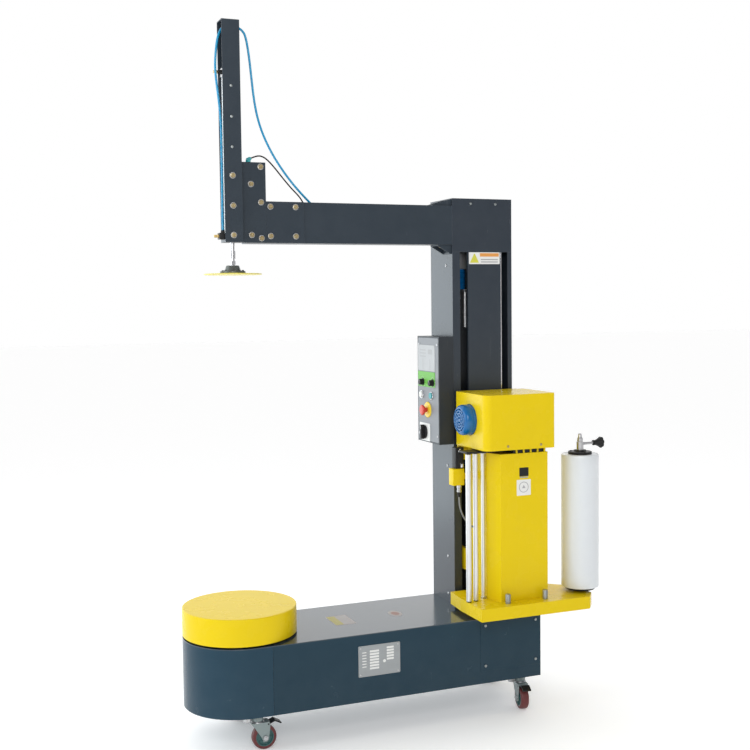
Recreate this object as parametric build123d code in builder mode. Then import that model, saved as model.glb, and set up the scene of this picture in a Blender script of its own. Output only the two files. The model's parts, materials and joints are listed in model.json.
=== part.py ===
from build123d import *

import math
import os

# Turntable stretch wrapper with an overhead press, for cartons and luggage.
# Millimetres. X runs along the base from the turntable to the column, Y runs to the
# back, Z is up, and the floor is Z = 0. The origin is on the floor under the middle
# of the machine, and most sizes are counted from the turntable's axis.

os.makedirs("parts", exist_ok=True)

# ---------------------------------------------------------------- driving sizes

base_width = 400
base_reach = 1095            # turntable axis to the base's right end
base_underside = 126
base_height = 240
sheet = 3
seam_reach = 60              # turntable axis to the seam of the side sheets
seam_gap = 1

turntable_diameter = 400
turntable_height = 94
turntable_gap = 7
turntable_plate = 4
hub_shaft_diameter = 50

column_offset = 845          # turntable axis to the column's left face
column_width = 250
column_depth = 190
column_rise = 1537
column_head_height = 199
left_flange = 31
left_slot = 34
strip_width = 138
right_slot = 30

arm_height = 144
arm_depth = 80
arm_wall = 3
arm_drop = 28                # column top down to the arm's top face
arm_inset = 60               # turntable axis to the arm's free end

channel_size = 62
channel_wall = 3
channel_length = 749
press_stroke = 450
press_rod_diameter = 16
pad_diameter = 200

tray_height = 46
tray_left = 806
tray_right = 1290
tray_front = 288             # turntable axis to the tray's front edge
tray_clearance = 15          # base top up to the tray's underside
carriage_travel = 650
cover_height = 540
housing_height = 200
film_height = 500
film_diameter = 140
core_bore = 76
film_reach = 1271
film_offset = 192
knob_reach = 1367            # turntable axis to the tip of the film clamp knob

gland_reach = 22             # cable gland beyond the column's back

wheel_diameter = 85
wheel_width = 30
caster_trail = 22

screw_head = 2.5
small_screw_radius = 5

running_gap = 0.05           # radial, round bars in round holes
part_gap = 0.3               # between bodies that slide or turn past each other
hose_diameter = 8
cable_diameter = 5
lead_diameter = 6

# ---------------------------------------------------------------- places

tx = -(knob_reach - base_width / 2) / 2
ty = (tray_front - base_width / 2 - gland_reach) / 2
base_top = base_underside + base_height
front = ty - base_width / 2
back = ty + base_width / 2
right_end = tx + base_reach
column_left = tx + column_offset
column_right = column_left + column_width
column_front = back - column_depth
column_top = base_top + column_rise
head_bottom = column_top - column_head_height
shelf_thickness = 12
strip_left = column_left + left_flange + left_slot
strip_right = strip_left + strip_width
arm_top = column_top - arm_drop
arm_bottom = arm_top - arm_height
channel_top = arm_bottom + channel_length
tray_bottom = base_top + tray_clearance
tray_top = tray_bottom + tray_height
cap_bottom = base_top + turntable_gap
cap_top = cap_bottom + turntable_height


def block(x, y, z, mode=Mode.ADD):
    """Adds a block between pairs of X, Y and Z values to the open part."""
    with Locations((x[0], y[0], z[0])):
        Box(x[1] - x[0], y[1] - y[0], z[1] - z[0], align=(Align.MIN,) * 3, mode=mode)


def post(x, y, z, radius, mode=Mode.ADD):
    """Adds an upright round bar between two heights."""
    with Locations((x, y, z[0])):
        Cylinder(radius, z[1] - z[0], align=(Align.CENTER, Align.CENTER, Align.MIN), mode=mode)


def bar_x(x, y, z, radius, mode=Mode.ADD):
    """Adds a round bar along X between two X values."""
    with Locations(Location((x[0], y, z), (0, 90, 0))):
        Cylinder(radius, x[1] - x[0], align=(Align.CENTER, Align.CENTER, Align.MIN), mode=mode)


def bar_y(x, y, z, radius, mode=Mode.ADD):
    """Adds a round bar along Y between two Y values."""
    with Locations(Location((x, y[0], z), (-90, 0, 0))):
        Cylinder(radius, y[1] - y[0], align=(Align.CENTER, Align.CENTER, Align.MIN), mode=mode)


def route_radii(points):
    """The bend radius at each inner point, as large as its two runs allow."""
    radii = []
    for before, here, after in zip(points, points[1:], points[2:]):
        run_in = Vector(*here) - Vector(*before)
        run_out = Vector(*after) - Vector(*here)
        half_turn = math.radians(run_in.get_angle(run_out) / 2)
        radii.append(0.45 * min(run_in.length, run_out.length) / math.tan(half_turn))
    return radii


def tube_along(points, diameter, name):
    """A plain round tube along straight runs joined by tangent arcs."""
    radii = route_radii(points)
    with BuildPart() as tube:
        with BuildLine() as path:
            FilletPolyline(*points, radius=radii)
        route = path.wires()[0]
        with BuildSketch(Plane(origin=route @ 0, z_dir=route % 0)):
            Circle(diameter / 2)
        sweep(path=route)
    plain = math.pi * (diameter / 2) ** 2 * route.length
    print(name, "length", round(route.length, 1), "volume ratio", round(tube.part.volume / plain, 4))
    print("  bend radii", [round(r) for r in radii])
    return tube


# ---------------------------------------------------------------- base

with BuildPart() as base_floor:
    with BuildSketch(Plane.XY.offset(base_underside)):
        with Locations((tx, ty)):
            Circle(base_width / 2 - sheet)
        with Locations((tx + (base_reach - sheet) / 2, ty)):
            Rectangle(base_reach - sheet, base_width - 2 * sheet)
    extrude(amount=4)
    for rail_y in (ty - 150, ty + 120):
        block((tx + 120, right_end - 40), (rail_y, rail_y + 30), (base_underside + 4, base_underside + 34))
base_floor.part.label = "base_floor"
export_step(base_floor.part, "parts/base_floor.step")

with BuildPart() as base_nose:
    with BuildSketch(Plane.XY.offset(base_underside)):
        with Locations((tx, ty)):
            Circle(base_width / 2)
        with Locations((tx + seam_reach / 2, ty)):
            Rectangle(seam_reach, base_width)
        with Locations((tx, ty)):
            Circle(base_width / 2 - sheet, mode=Mode.SUBTRACT)
        with Locations((tx + seam_reach / 2, ty)):
            Rectangle(seam_reach, base_width - 2 * sheet, mode=Mode.SUBTRACT)
        with Locations((tx + seam_reach + base_width / 2, ty)):
            Rectangle(base_width, base_width, mode=Mode.SUBTRACT)
    extrude(amount=base_height - sheet)
base_nose.part.label = "base_nose"
export_step(base_nose.part, "parts/base_nose.step")

side_x = (tx + seam_reach + seam_gap, right_end)
side_z = (base_underside, base_top - sheet)
access_x = (right_end - 250, right_end - 2)
access_z = (base_underside + 45, base_top - 6)
with BuildPart() as base_side_front:
    block(side_x, (front, front + sheet), side_z)
    block((access_x[0] + 14, access_x[1] - 14), (front, front + sheet), (access_z[0] + 14, access_z[1] - 14),
          Mode.SUBTRACT)
base_side_front.part.label = "base_side_front"
export_step(base_side_front.part, "parts/base_side_front.step")

with BuildPart() as base_side_back:
    block(side_x, (back - sheet, back), side_z)
base_side_back.part.label = "base_side_back"
export_step(base_side_back.part, "parts/base_side_back.step")

with BuildPart() as base_end_panel:
    block((right_end - sheet, right_end), (front + sheet, back - sheet), side_z)
    for slot_z in range(5):
        block((right_end - sheet, right_end), (ty - 60, ty + 60),
              (base_underside + 70 + 22 * slot_z, base_underside + 78 + 22 * slot_z), Mode.SUBTRACT)
base_end_panel.part.label = "base_end_panel"
export_step(base_end_panel.part, "parts/base_end_panel.step")

with BuildPart() as base_access_panel:
    with BuildSketch(Plane.XZ.offset(-front)):
        with Locations(((access_x[0] + access_x[1]) / 2, (access_z[0] + access_z[1]) / 2)):
            RectangleRounded(access_x[1] - access_x[0], access_z[1] - access_z[0], 4)
    extrude(amount=1.5)
base_access_panel.part.label = "base_access_panel"
export_step(base_access_panel.part, "parts/base_access_panel.step")

hub_opening = 75
with BuildPart() as base_top_cover:
    with BuildSketch(Plane.XY.offset(base_top - sheet)):
        with Locations((tx, ty)):
            Circle(base_width / 2)
        with Locations((tx + base_reach / 2, ty)):
            Rectangle(base_reach, base_width)
        with Locations((tx, ty)):
            Circle(hub_opening, mode=Mode.SUBTRACT)
    extrude(amount=sheet)
base_top_cover.part.label = "base_top_cover"
export_step(base_top_cover.part, "parts/base_top_cover.step")

# ---------------------------------------------------------------- turntable

stand_top = base_top - 34
bearing_top = base_top - 4
with BuildPart() as stand:
    block((tx - 80, tx + 80), (ty - 110, ty + 110), (stand_top - 10, stand_top))
    for side in (-1, 1):
        block((tx - 80, tx + 80), (ty + side * 104 - 6, ty + side * 104 + 6),
              (base_underside + 4, stand_top - 10))
    post(tx, ty, (stand_top - 10, stand_top), hub_shaft_diameter / 2 + 3, Mode.SUBTRACT)
with BuildPart() as bearing:
    post(tx, ty, (stand_top, bearing_top), 62)
    post(tx, ty, (stand_top, bearing_top), hub_shaft_diameter / 2 + running_gap, Mode.SUBTRACT)
turntable_stand = Compound(label="turntable_stand", children=[stand.part, bearing.part])
export_step(turntable_stand, "parts/turntable_stand.step")

gearbox_z = (base_underside + 80, stand_top - 10)
stub_diameter = 28
with BuildPart() as turntable_gearmotor:
    block((tx - 55, tx + 55), (ty - 50, ty + 50), gearbox_z)
    bar_x((tx + 55, tx + 250), ty, sum(gearbox_z) / 2, 55)
    block((tx + 120, tx + 200), (ty - 70, ty), (sum(gearbox_z) / 2 + 20, sum(gearbox_z) / 2 + 60))
    post(tx, ty, gearbox_z, stub_diameter / 2 + running_gap, Mode.SUBTRACT)
turntable_gearmotor.part.label = "turntable_gearmotor"
export_step(turntable_gearmotor.part, "parts/turntable_gearmotor.step")

hub_flange_z = (cap_top - turntable_plate - 10, cap_top - turntable_plate)
with BuildPart() as turntable_hub:
    post(tx, ty, (gearbox_z[0] + 20, stand_top), stub_diameter / 2)
    post(tx, ty, (stand_top - 9, hub_flange_z[0]), hub_shaft_diameter / 2)
    post(tx, ty, (bearing_top + part_gap, bearing_top + 12), 34)
    post(tx, ty, hub_flange_z, 90)
    with Locations((tx, ty, hub_flange_z[0])):
        with PolarLocations(60, 6):
            Cylinder(4.5, 10, align=(Align.CENTER, Align.CENTER, Align.MIN), mode=Mode.SUBTRACT)
turntable_hub.part.label = "turntable_hub"
export_step(turntable_hub.part, "parts/turntable_hub.step")

with BuildPart() as turntable_cap:
    post(tx, ty, (cap_bottom, cap_top), turntable_diameter / 2)
    fillet(turntable_cap.edges().group_by(Axis.Z)[-1], 3)
    post(tx, ty, (cap_bottom, cap_top - turntable_plate), turntable_diameter / 2 - sheet, Mode.SUBTRACT)
turntable_cap.part.label = "turntable_cap"
export_step(turntable_cap.part, "parts/turntable_cap.step")

# ---------------------------------------------------------------- column

with BuildPart() as column_side_panels:
    for wall_x, flange_x in (
        ((column_left, column_left + sheet), (column_left, column_left + left_flange)),
        ((column_right - sheet, column_right), (strip_right + right_slot, column_right)),
    ):
        block(wall_x, (column_front, back - sheet), (base_top, head_bottom))
        block(flange_x, (column_front, column_front + sheet), (base_top, head_bottom))
        block(wall_x, (column_front + sheet, back - sheet), (head_bottom, column_top - sheet))
column_side_panels.part.label = "column_side_panels"
export_step(column_side_panels.part, "parts/column_side_panels.step")

inlet_z = base_top + 90
with BuildPart() as column_back_panel:
    block((column_left, column_right), (back - sheet, back), (base_top, column_top - sheet))
    bar_y(column_left + 70, (back, back + gland_reach), inlet_z, 13)
    bar_y(column_left + 70, (back - sheet, back + gland_reach), inlet_z, 6.5, Mode.SUBTRACT)
    bar_y(column_left + 130, (back, back + 18), inlet_z, 9)
    bar_y(column_left + 130, (back - sheet, back + 18), inlet_z, 4, Mode.SUBTRACT)
column_back_panel.part.label = "column_back_panel"
export_step(column_back_panel.part, "parts/column_back_panel.step")

strip_lip = 9
with BuildPart() as column_centre_strip:
    block((strip_left, strip_right), (column_front, column_front + sheet), (base_top, head_bottom))
    for lip_x in (strip_left, strip_right - sheet):
        block((lip_x, lip_x + sheet), (column_front, column_front + sheet + strip_lip), (base_top, head_bottom))
column_centre_strip.part.label = "column_centre_strip"
export_step(column_centre_strip.part, "parts/column_centre_strip.step")

rod_radius = 8
rod_y = column_front + 35
left_rod_x = column_left + 40
right_rod_x = strip_right + right_slot / 2 + 3
screw_x = column_left + 58
screw_y = column_front + 92
screw_radius = 12.5
shelf_z = (head_bottom, head_bottom + shelf_thickness)
with BuildPart() as column_head:
    block((column_left, column_right), (column_front, column_front + sheet), (head_bottom, column_top - sheet))
    block((column_left, column_right), (column_front, back), (column_top - sheet, column_top))
    block((column_left + sheet, column_right - sheet), (column_front + sheet, column_front + 150), shelf_z)
column_head.part.label = "column_head"
export_step(column_head.part, "parts/column_head.step")

with BuildPart() as guide_rods:
    for rod_x in (left_rod_x, right_rod_x):
        post(rod_x, rod_y, (base_top, head_bottom), rod_radius)
guide_rods.part.label = "guide_rods"
export_step(guide_rods.part, "parts/guide_rods.step")

lift_gearbox_z = (head_bottom - 62, head_bottom)
lift_motor_z = (lift_gearbox_z[0] - 76, lift_gearbox_z[0])
lift_motor_radius = 38
journal_radius = 8
with BuildPart() as lift_motor:
    block((screw_x - lift_motor_radius, screw_x + lift_motor_radius),
          (screw_y - lift_motor_radius, screw_y + lift_motor_radius), lift_gearbox_z)
    post(screw_x, screw_y, lift_motor_z, lift_motor_radius)
    post(screw_x, screw_y, (lift_motor_z[0], lift_motor_z[0] + 40), journal_radius + running_gap, Mode.SUBTRACT)
lift_motor.part.label = "lift_motor"
export_step(lift_motor.part, "parts/lift_motor.step")

with BuildPart() as lift_screw:
    post(screw_x, screw_y, (base_top + 20, lift_motor_z[0] - 2), screw_radius)
    post(screw_x, screw_y, (lift_motor_z[0] - 2, lift_motor_z[0] + 38), journal_radius)
lift_screw.part.label = "lift_screw"
export_step(lift_screw.part, "parts/lift_screw.step")

# ---------------------------------------------------------------- arm

arm_y = (column_front, column_front + arm_depth)
arm_x = (tx + arm_inset, column_left)
hose_entry = (tx + 303, ty + 43)
cable_entry = (tx + 273, ty + 38)
with BuildPart() as arm_tube:
    block(arm_x, arm_y, (arm_bottom, arm_top))
    block((arm_x[0], arm_x[1]), (arm_y[0] + arm_wall, arm_y[1] - arm_wall),
          (arm_bottom + arm_wall, arm_top - arm_wall), Mode.SUBTRACT)
    block((arm_x[0], arm_x[0] + arm_wall), arm_y, (arm_bottom, arm_top))
    post(hose_entry[0], hose_entry[1], (arm_top - arm_wall, arm_top), hose_diameter + 1, Mode.SUBTRACT)
    post(cable_entry[0], cable_entry[1], (arm_top - arm_wall, arm_top), cable_diameter, Mode.SUBTRACT)
arm_tube.part.label = "arm_tube"
export_step(arm_tube.part, "parts/arm_tube.step")

bracket_y = (arm_y[0] + 8, arm_y[1] - 8)
with BuildPart() as arm_brackets:
    for face_z, way, reach, rise in ((arm_top, 1, 76, 25), (arm_bottom, -1, 56, 34)):
        base_z = sorted((face_z, face_z + way * 4))
        leg_z = sorted((face_z, face_z + way * rise))
        block((column_left - reach, column_left), bracket_y, base_z)
        block((column_left - 4, column_left), bracket_y, leg_z)
        for rib_y in (bracket_y[0], bracket_y[1] - 4):
            with BuildSketch(Plane.XZ.offset(-rib_y)):
                with BuildLine():
                    Polyline((column_left - 4, face_z + way * 4), (column_left - reach, face_z + way * 4),
                             (column_left - 4, face_z + way * rise), close=True)
                make_face()
            extrude(amount=-4)
arm_brackets.part.label = "arm_brackets"
export_step(arm_brackets.part, "parts/arm_brackets.step")

# ---------------------------------------------------------------- press

half = channel_size / 2
inner = half - channel_wall
channel_x = (tx - half, tx + half)
channel_y = (ty - half, ty + half)
foot_thickness = 10
hose_hole_z = channel_top - 18
with BuildPart() as press_channel:
    block(channel_x, channel_y, (arm_bottom, channel_top))
    block((tx - half, tx + inner), (ty - inner, ty + inner),
          (arm_bottom + foot_thickness, channel_top - channel_wall), Mode.SUBTRACT)
    post(tx, ty, (arm_bottom, arm_bottom + foot_thickness), press_rod_diameter / 2 + 2, Mode.SUBTRACT)
    bar_x((tx + inner, tx + half), ty, hose_hole_z, hose_diameter / 2 + 2.5, Mode.SUBTRACT)
press_channel.part.label = "press_channel"
export_step(press_channel.part, "parts/press_channel.step")

gusset_right = tx + 124
gusset_top = arm_bottom + 277
plate_thickness = 8
clamp_thickness = 6
clamp_right = gusset_right + 140
with BuildPart() as press_bracket:
    block((tx + half, gusset_right), (column_front - plate_thickness, column_front), (arm_bottom, gusset_top))
    with BuildSketch(Plane.XZ.offset(-column_front)):
        with Locations((tx + half + 5, gusset_top + 5)):
            Rectangle(10, 10)
        with Locations((tx + half + 10, gusset_top + 10)):
            Circle(10, mode=Mode.SUBTRACT)
    extrude(amount=plate_thickness)
    block((tx + half, tx + half + 6), (column_front, ty + half), (arm_bottom, gusset_top))
    block((gusset_right, clamp_right), (column_front - clamp_thickness, column_front), (arm_bottom, arm_top))
    block((tx + arm_inset, clamp_right), (arm_y[1], arm_y[1] + clamp_thickness), (arm_bottom, arm_top))
press_bracket.part.label = "press_bracket"
export_step(press_bracket.part, "parts/press_bracket.step")

cap_size = 50
barrel_radius = 23
bore_radius = 20
lower_cap_z = (arm_bottom + foot_thickness, arm_bottom + foot_thickness + 28)
cylinder_length = 580
upper_cap_z = (lower_cap_z[0] + cylinder_length - 28, lower_cap_z[0] + cylinder_length)
with BuildPart() as press_cylinder:
    for cap_z in (lower_cap_z, upper_cap_z):
        block((tx - cap_size / 2, tx + cap_size / 2), (ty - cap_size / 2, ty + cap_size / 2), cap_z)
    post(tx, ty, (lower_cap_z[1], upper_cap_z[0]), barrel_radius)
    post(tx, ty, (lower_cap_z[1], upper_cap_z[0]), bore_radius, Mode.SUBTRACT)
    post(tx, ty, lower_cap_z, press_rod_diameter / 2 + running_gap, Mode.SUBTRACT)
    for tie_x in (-19, 19):
        for tie_y in (-19, 19):
            post(tx + tie_x, ty + tie_y, (lower_cap_z[1], upper_cap_z[0]), 2.5)
press_cylinder.part.label = "press_cylinder"
export_step(press_cylinder.part, "parts/press_cylinder.step")

pad_z = arm_bottom - 111
pad_thickness = 4
hub_top = pad_z + 32
piston_z = (upper_cap_z[0] - 42, upper_cap_z[0] - 12)
with BuildPart() as press_rod:
    post(tx, ty, (pad_z + pad_thickness + 8, piston_z[1]), press_rod_diameter / 2)
    post(tx, ty, piston_z, bore_radius - running_gap)
    with BuildSketch(Plane.XY.offset(hub_top + 3)):
        with Locations((tx, ty)):
            RegularPolygon(14, 6)
    extrude(amount=12)
    post(tx, ty, (hub_top + 24, hub_top + 50), 11)
press_rod.part.label = "press_rod"
export_step(press_rod.part, "parts/press_rod.step")

with BuildPart() as press_pad:
    post(tx, ty, (pad_z, pad_z + pad_thickness), pad_diameter / 2)
    post(tx, ty, (pad_z + pad_thickness, pad_z + 13), 52)
    with Locations((tx, ty, pad_z + 13)):
        Cone(28, 22, hub_top - pad_z - 13, align=(Align.CENTER, Align.CENTER, Align.MIN))
    post(tx, ty, (pad_z + pad_thickness + 8 - part_gap, hub_top), press_rod_diameter / 2 + running_gap,
         Mode.SUBTRACT)
press_pad.part.label = "press_pad"
export_step(press_pad.part, "parts/press_pad.step")

valve_reach = 24
held_hose_y = ty - 14
lower_valve_z = (lower_cap_z[0], lower_cap_z[0] + 30)
upper_port_z = sum(upper_cap_z) / 2
held_hose_points = [
    (tx + half, ty, hose_hole_z), (tx + 9, ty - 2, hose_hole_z + 9),
    (tx - 14, ty - 6, hose_hole_z + 1), (tx - 32, ty - 10, hose_hole_z - 19),
    (tx - 44, held_hose_y, hose_hole_z - 54), (tx - 52, held_hose_y, hose_hole_z - 130),
    (tx - 49, held_hose_y, hose_hole_z - 184), (tx - 42, held_hose_y, hose_hole_z - 240),
    (tx - 36, held_hose_y, hose_hole_z - 304), (tx - 34, held_hose_y, hose_hole_z - 394),
    (tx - 35, held_hose_y, hose_hole_z - 504), (tx - 36, held_hose_y, hose_hole_z - 604),
    (tx - 36, held_hose_y, lower_valve_z[1]),
]
held_hose = tube_along(held_hose_points, hose_diameter, "held hose")
with BuildPart() as lower_valve:
    block((tx - 49, tx - cap_size / 2), (ty - 22, ty + 10), lower_valve_z)
    bar_x((tx - 66, tx - 49), ty, sum(lower_valve_z) / 2 - 4, 6)
with BuildPart() as upper_valve:
    bar_x((tx - cap_size / 2 - valve_reach + 8, tx - cap_size / 2), ty, upper_port_z, 8)
    bar_x((tx - cap_size / 2 - valve_reach - 6, tx - cap_size / 2 - valve_reach + 8), ty, upper_port_z, 5)
gland_x = tx + 64
gland_tilt = 65
gland_y = column_front - plate_thickness / 2
with BuildPart() as cable_gland:
    with Locations((gland_x, gland_y, gusset_top)):
        Box(18, 12, 10, align=(Align.CENTER, Align.CENTER, Align.MIN))
    with Locations(Location((gland_x, gland_y, gusset_top + 9), (0, gland_tilt, 0))):
        Cylinder(5, 12, align=(Align.CENTER, Align.CENTER, Align.MIN))
press_plumbing = Compound(
    label="press_plumbing",
    children=[held_hose.part, lower_valve.part, upper_valve.part, cable_gland.part],
)
export_step(press_plumbing, "parts/press_plumbing.step")

hose_points = [
    (tx + half, ty, hose_hole_z), (tx + 53, ty + 2, hose_hole_z - 9), (tx + 64, ty + 2, hose_hole_z - 38),
    (tx + 73, ty + 3, hose_hole_z - 96), (tx + 81, ty + 5, hose_hole_z - 172),
    (tx + 89, ty + 8, hose_hole_z - 242), (tx + 102, ty + 12, hose_hole_z - 304),
    (tx + 122, ty + 16, hose_hole_z - 359), (tx + 152, ty + 21, hose_hole_z - 416),
    (tx + 190, ty + 27, hose_hole_z - 471), (tx + 231, ty + 33, hose_hole_z - 520),
    (tx + 271, ty + 39, hose_hole_z - 560), (hose_entry[0] + 11, hose_entry[1] + 1, arm_top - 12),
]
air_hose = tube_along(hose_points, hose_diameter, "air hose")
air_hose.part.label = "air_hose"
export_step(air_hose.part, "parts/air_hose.step")

lean = (math.sin(math.radians(gland_tilt)), math.cos(math.radians(gland_tilt)))
cable_start_x = gland_x + 12 * lean[0]
cable_start_z = gusset_top + 9 + 12 * lean[1]
cable_points = [
    (cable_start_x, gland_y, cable_start_z), (cable_start_x + 24 * lean[0], gland_y, cable_start_z + 24 * lean[1]),
    (tx + 121, gland_y + 3, cable_start_z + 6), (tx + 143, gland_y + 8, cable_start_z - 10),
    (tx + 166, gland_y + 13, cable_start_z - 33), (tx + 196, gland_y + 19, cable_start_z - 66),
    (tx + 226, gland_y + 25, cable_start_z - 97), (tx + 249, gland_y + 29, cable_start_z - 117),
    (tx + 267, gland_y + 33, cable_start_z - 136), (cable_entry[0] + 5, cable_entry[1], arm_top - 12),
]
sensor_cable = tube_along(cable_points, cable_diameter, "sensor cable")
sensor_cable.part.label = "sensor_cable"
export_step(sensor_cable.part, "parts/sensor_cable.step")

# ---------------------------------------------------------------- carriage

plate_y = (column_front - 24, column_front - 14)
cover_left = tx + 896
cover_x = (tx + 918, tx + 1112)
cover_front = ty - 225
cover_z = (tray_top, tray_top + cover_height)
housing_x = (tx + 845, tx + 1130)
housing_front = ty - 250
housing_z = (cover_z[1] + 17, cover_z[1] + 17 + housing_height)
guide_height = 80
lower_guide_z = tray_bottom + 122
upper_guide_z = lower_guide_z + 420
nut_z = (lower_guide_z + 20, lower_guide_z + 50)
roller_bracket_z = (cover_z[1] + 5, cover_z[1] + 11)
outer_roller = (tx + 812, ty - 176)
inner_roller = (tx + 842, ty - 172)
tie_rod = (tx + 884, ty - 150)
stretch_driven = (tx + 965, ty - 120)
stretch_geared = (tx + 1030, ty - 120)
stretch_shaft = 8
with BuildPart() as carriage_frame:
    block((tx + 853, tx + 1105), plate_y, (cover_z[1], housing_z[1]))
    block((cover_left, tx + 1105), plate_y, (tray_bottom, cover_z[1]))
    for guide_z in (lower_guide_z, upper_guide_z):
        for rod_x, slot_x in ((left_rod_x, strip_left - left_slot / 2), (right_rod_x, strip_right + right_slot / 2)):
            block((slot_x - 9, slot_x + 9), (plate_y[1], rod_y - 14), (guide_z, guide_z + guide_height))
            block((rod_x - 16, rod_x + 16), (rod_y - 16, rod_y + 16), (guide_z, guide_z + guide_height))
            post(rod_x, rod_y, (guide_z, guide_z + guide_height), rod_radius + running_gap, Mode.SUBTRACT)
    block((screw_x - 22, screw_x + 22), (rod_y + 16, screw_y + 22), nut_z)
    block((left_rod_x - 16, screw_x + 22), (rod_y + 10, rod_y + 18), nut_z)
    post(screw_x, screw_y, nut_z, screw_radius + running_gap, Mode.SUBTRACT)
    block((outer_roller[0] - 14, tx + 1105), (ty - 194, ty - 130), roller_bracket_z)
    block((cover_left, tx + 1105), (ty - 130, plate_y[0]), roller_bracket_z)
    block((tx + 1060, tx + 1105), (ty - 60, plate_y[0]), (roller_bracket_z[1], roller_bracket_z[1] + 6))
    for x, y in (outer_roller, inner_roller):
        post(x, y, roller_bracket_z, 4 + running_gap, Mode.SUBTRACT)
    for x, y in (stretch_driven, stretch_geared):
        post(x, y, roller_bracket_z, stretch_shaft + running_gap, Mode.SUBTRACT)
    post(*tie_rod, (tray_top, roller_bracket_z[0]), 6.5)
carriage_frame.part.label = "carriage_frame"
export_step(carriage_frame.part, "parts/carriage_frame.step")

with BuildPart() as carriage_tray:
    with BuildSketch(Plane.XY.offset(tray_bottom)):
        with BuildLine():
            Polyline(
                (tx + tray_left, ty - tray_front), (tx + tray_right - 36, ty - tray_front),
                (tx + tray_right, ty - tray_front + 46), (tx + tray_right, ty - 130),
                (tx + 1160, plate_y[0]), (tx + tray_left + 10, plate_y[0]),
                (tx + tray_left, ty - 118), close=True,
            )
        make_face()
    extrude(amount=tray_height)
    with BuildSketch(Plane.XY.offset(tray_bottom)):
        with BuildLine():
            Polyline(
                (tx + tray_left + 3, ty - tray_front + 3), (tx + tray_right - 37, ty - tray_front + 3),
                (tx + tray_right - 3, ty - tray_front + 47), (tx + tray_right - 3, ty - 132),
                (tx + 1159, plate_y[0] - 3), (tx + tray_left + 12, plate_y[0] - 3),
                (tx + tray_left + 3, ty - 118), close=True,
            )
        make_face()
    extrude(amount=tray_height - 4, mode=Mode.SUBTRACT)
    post(tx + film_reach, ty - film_offset, (tray_bottom + 10, tray_top + 8), 22)
    post(tx + film_reach, ty - film_offset, (tray_bottom + 10, tray_top + 8), 10 + running_gap, Mode.SUBTRACT)
    for x, y in (outer_roller, inner_roller):
        post(x, y, (tray_top - 4, tray_top), 4 + running_gap, Mode.SUBTRACT)
    for x, y in (stretch_driven, stretch_geared):
        post(x, y, (tray_top - 4, tray_top), stretch_shaft + running_gap, Mode.SUBTRACT)
    for peg_x in (tx + 932, tx + 1086):
        post(peg_x, ty - 250, (tray_top, tray_top + 34), 9)
carriage_tray.part.label = "carriage_tray"
export_step(carriage_tray.part, "parts/carriage_tray.step")

lead_entry_z = tray_top + 237
with BuildPart() as carriage_cover:
    for inset, z, mode in ((0, cover_z, Mode.ADD), (2, (cover_z[0], cover_z[1] - 2), Mode.SUBTRACT)):
        with BuildSketch(Plane.XY.offset(z[0])):
            with BuildLine():
                Polyline(
                    (cover_x[0] + inset * 0.8, cover_front + inset), (cover_x[1] - inset, cover_front + inset),
                    (cover_x[1] - inset, plate_y[0] - inset), (cover_left + inset, plate_y[0] - inset),
                    (cover_left + inset, ty - 155 + inset * 0.3), close=True,
                )
            make_face()
        extrude(amount=z[1] - z[0], mode=mode)
    for x, y in (stretch_driven, stretch_geared):
        post(x, y, (cover_z[1] - 2, cover_z[1]), stretch_shaft + 2, Mode.SUBTRACT)
    bar_x((cover_left, cover_left + 2), ty - 60, lead_entry_z + 6, lead_diameter, Mode.SUBTRACT)
carriage_cover.part.label = "carriage_cover"
export_step(carriage_cover.part, "parts/carriage_cover.step")

motor_y = ty - 124
motor_z = housing_z[0] + 104
motor_radius = 52
with BuildPart() as motor_housing:
    with BuildSketch(Plane.XY.offset(housing_z[0])):
        with Locations(((housing_x[0] + housing_x[1]) / 2, (housing_front + plate_y[0]) / 2)):
            Rectangle(housing_x[1] - housing_x[0], plate_y[0] - housing_front)
        fillet(vertices().group_by(Axis.Y)[0], 12)
    extrude(amount=housing_height)
    block((housing_x[0] + 2, housing_x[1] - 2), (housing_front + 2, plate_y[0] - 2),
          (housing_z[0], housing_z[1] - 2), Mode.SUBTRACT)
    bar_x((housing_x[0] - 1, housing_x[0] + 4), motor_y, motor_z, motor_radius + 2, Mode.SUBTRACT)
    for x in (housing_x[0] + 90, housing_x[1] - 60):
        bar_y(x, (housing_front - screw_head, housing_front), housing_z[0] + 14, small_screw_radius)
motor_housing.part.label = "motor_housing"
export_step(motor_housing.part, "parts/motor_housing.step")

motor_x = (tx + 802, tx + 980)
with BuildPart() as film_motor:
    bar_x((motor_x[0], motor_x[0] + 4), motor_y, motor_z, motor_radius - 5)
    bar_x((motor_x[0] + 4, motor_x[1]), motor_y, motor_z, motor_radius)
    block((motor_x[1], motor_x[1] + 70), (motor_y - 45, motor_y + 45), (housing_z[0] + 40, motor_z + 45))
    block((motor_x[1], motor_x[1] + 70), (motor_y + 45, plate_y[0] - 2), (motor_z - 30, motor_z + 30))
film_motor.part.label = "film_motor"
export_step(film_motor.part, "parts/film_motor.step")

cell_x = (tx + 811, tx + 865)
cell_y = (ty - 76, ty - 44)
cell_z = (tray_top + 475, housing_z[0] - 3)
bracket_z = (tray_top + 413, tray_top + 475)
gland_z = (bracket_z[0] - 46, bracket_z[0])
with BuildPart() as photocell:
    block(cell_x, cell_y, cell_z)
    block((cell_x[0] - 12, cell_x[1] + 1), (cell_y[0] - 3, cell_y[1] + 3), bracket_z)
    block((cell_x[1] + 1, cover_left), (cell_y[0] + 6, cell_y[1] - 6), (bracket_z[0] + 20, bracket_z[1] - 20))
    post(tx + 832, ty - 60, gland_z, 9)
photocell.part.label = "photocell"
export_step(photocell.part, "parts/photocell.step")

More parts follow.
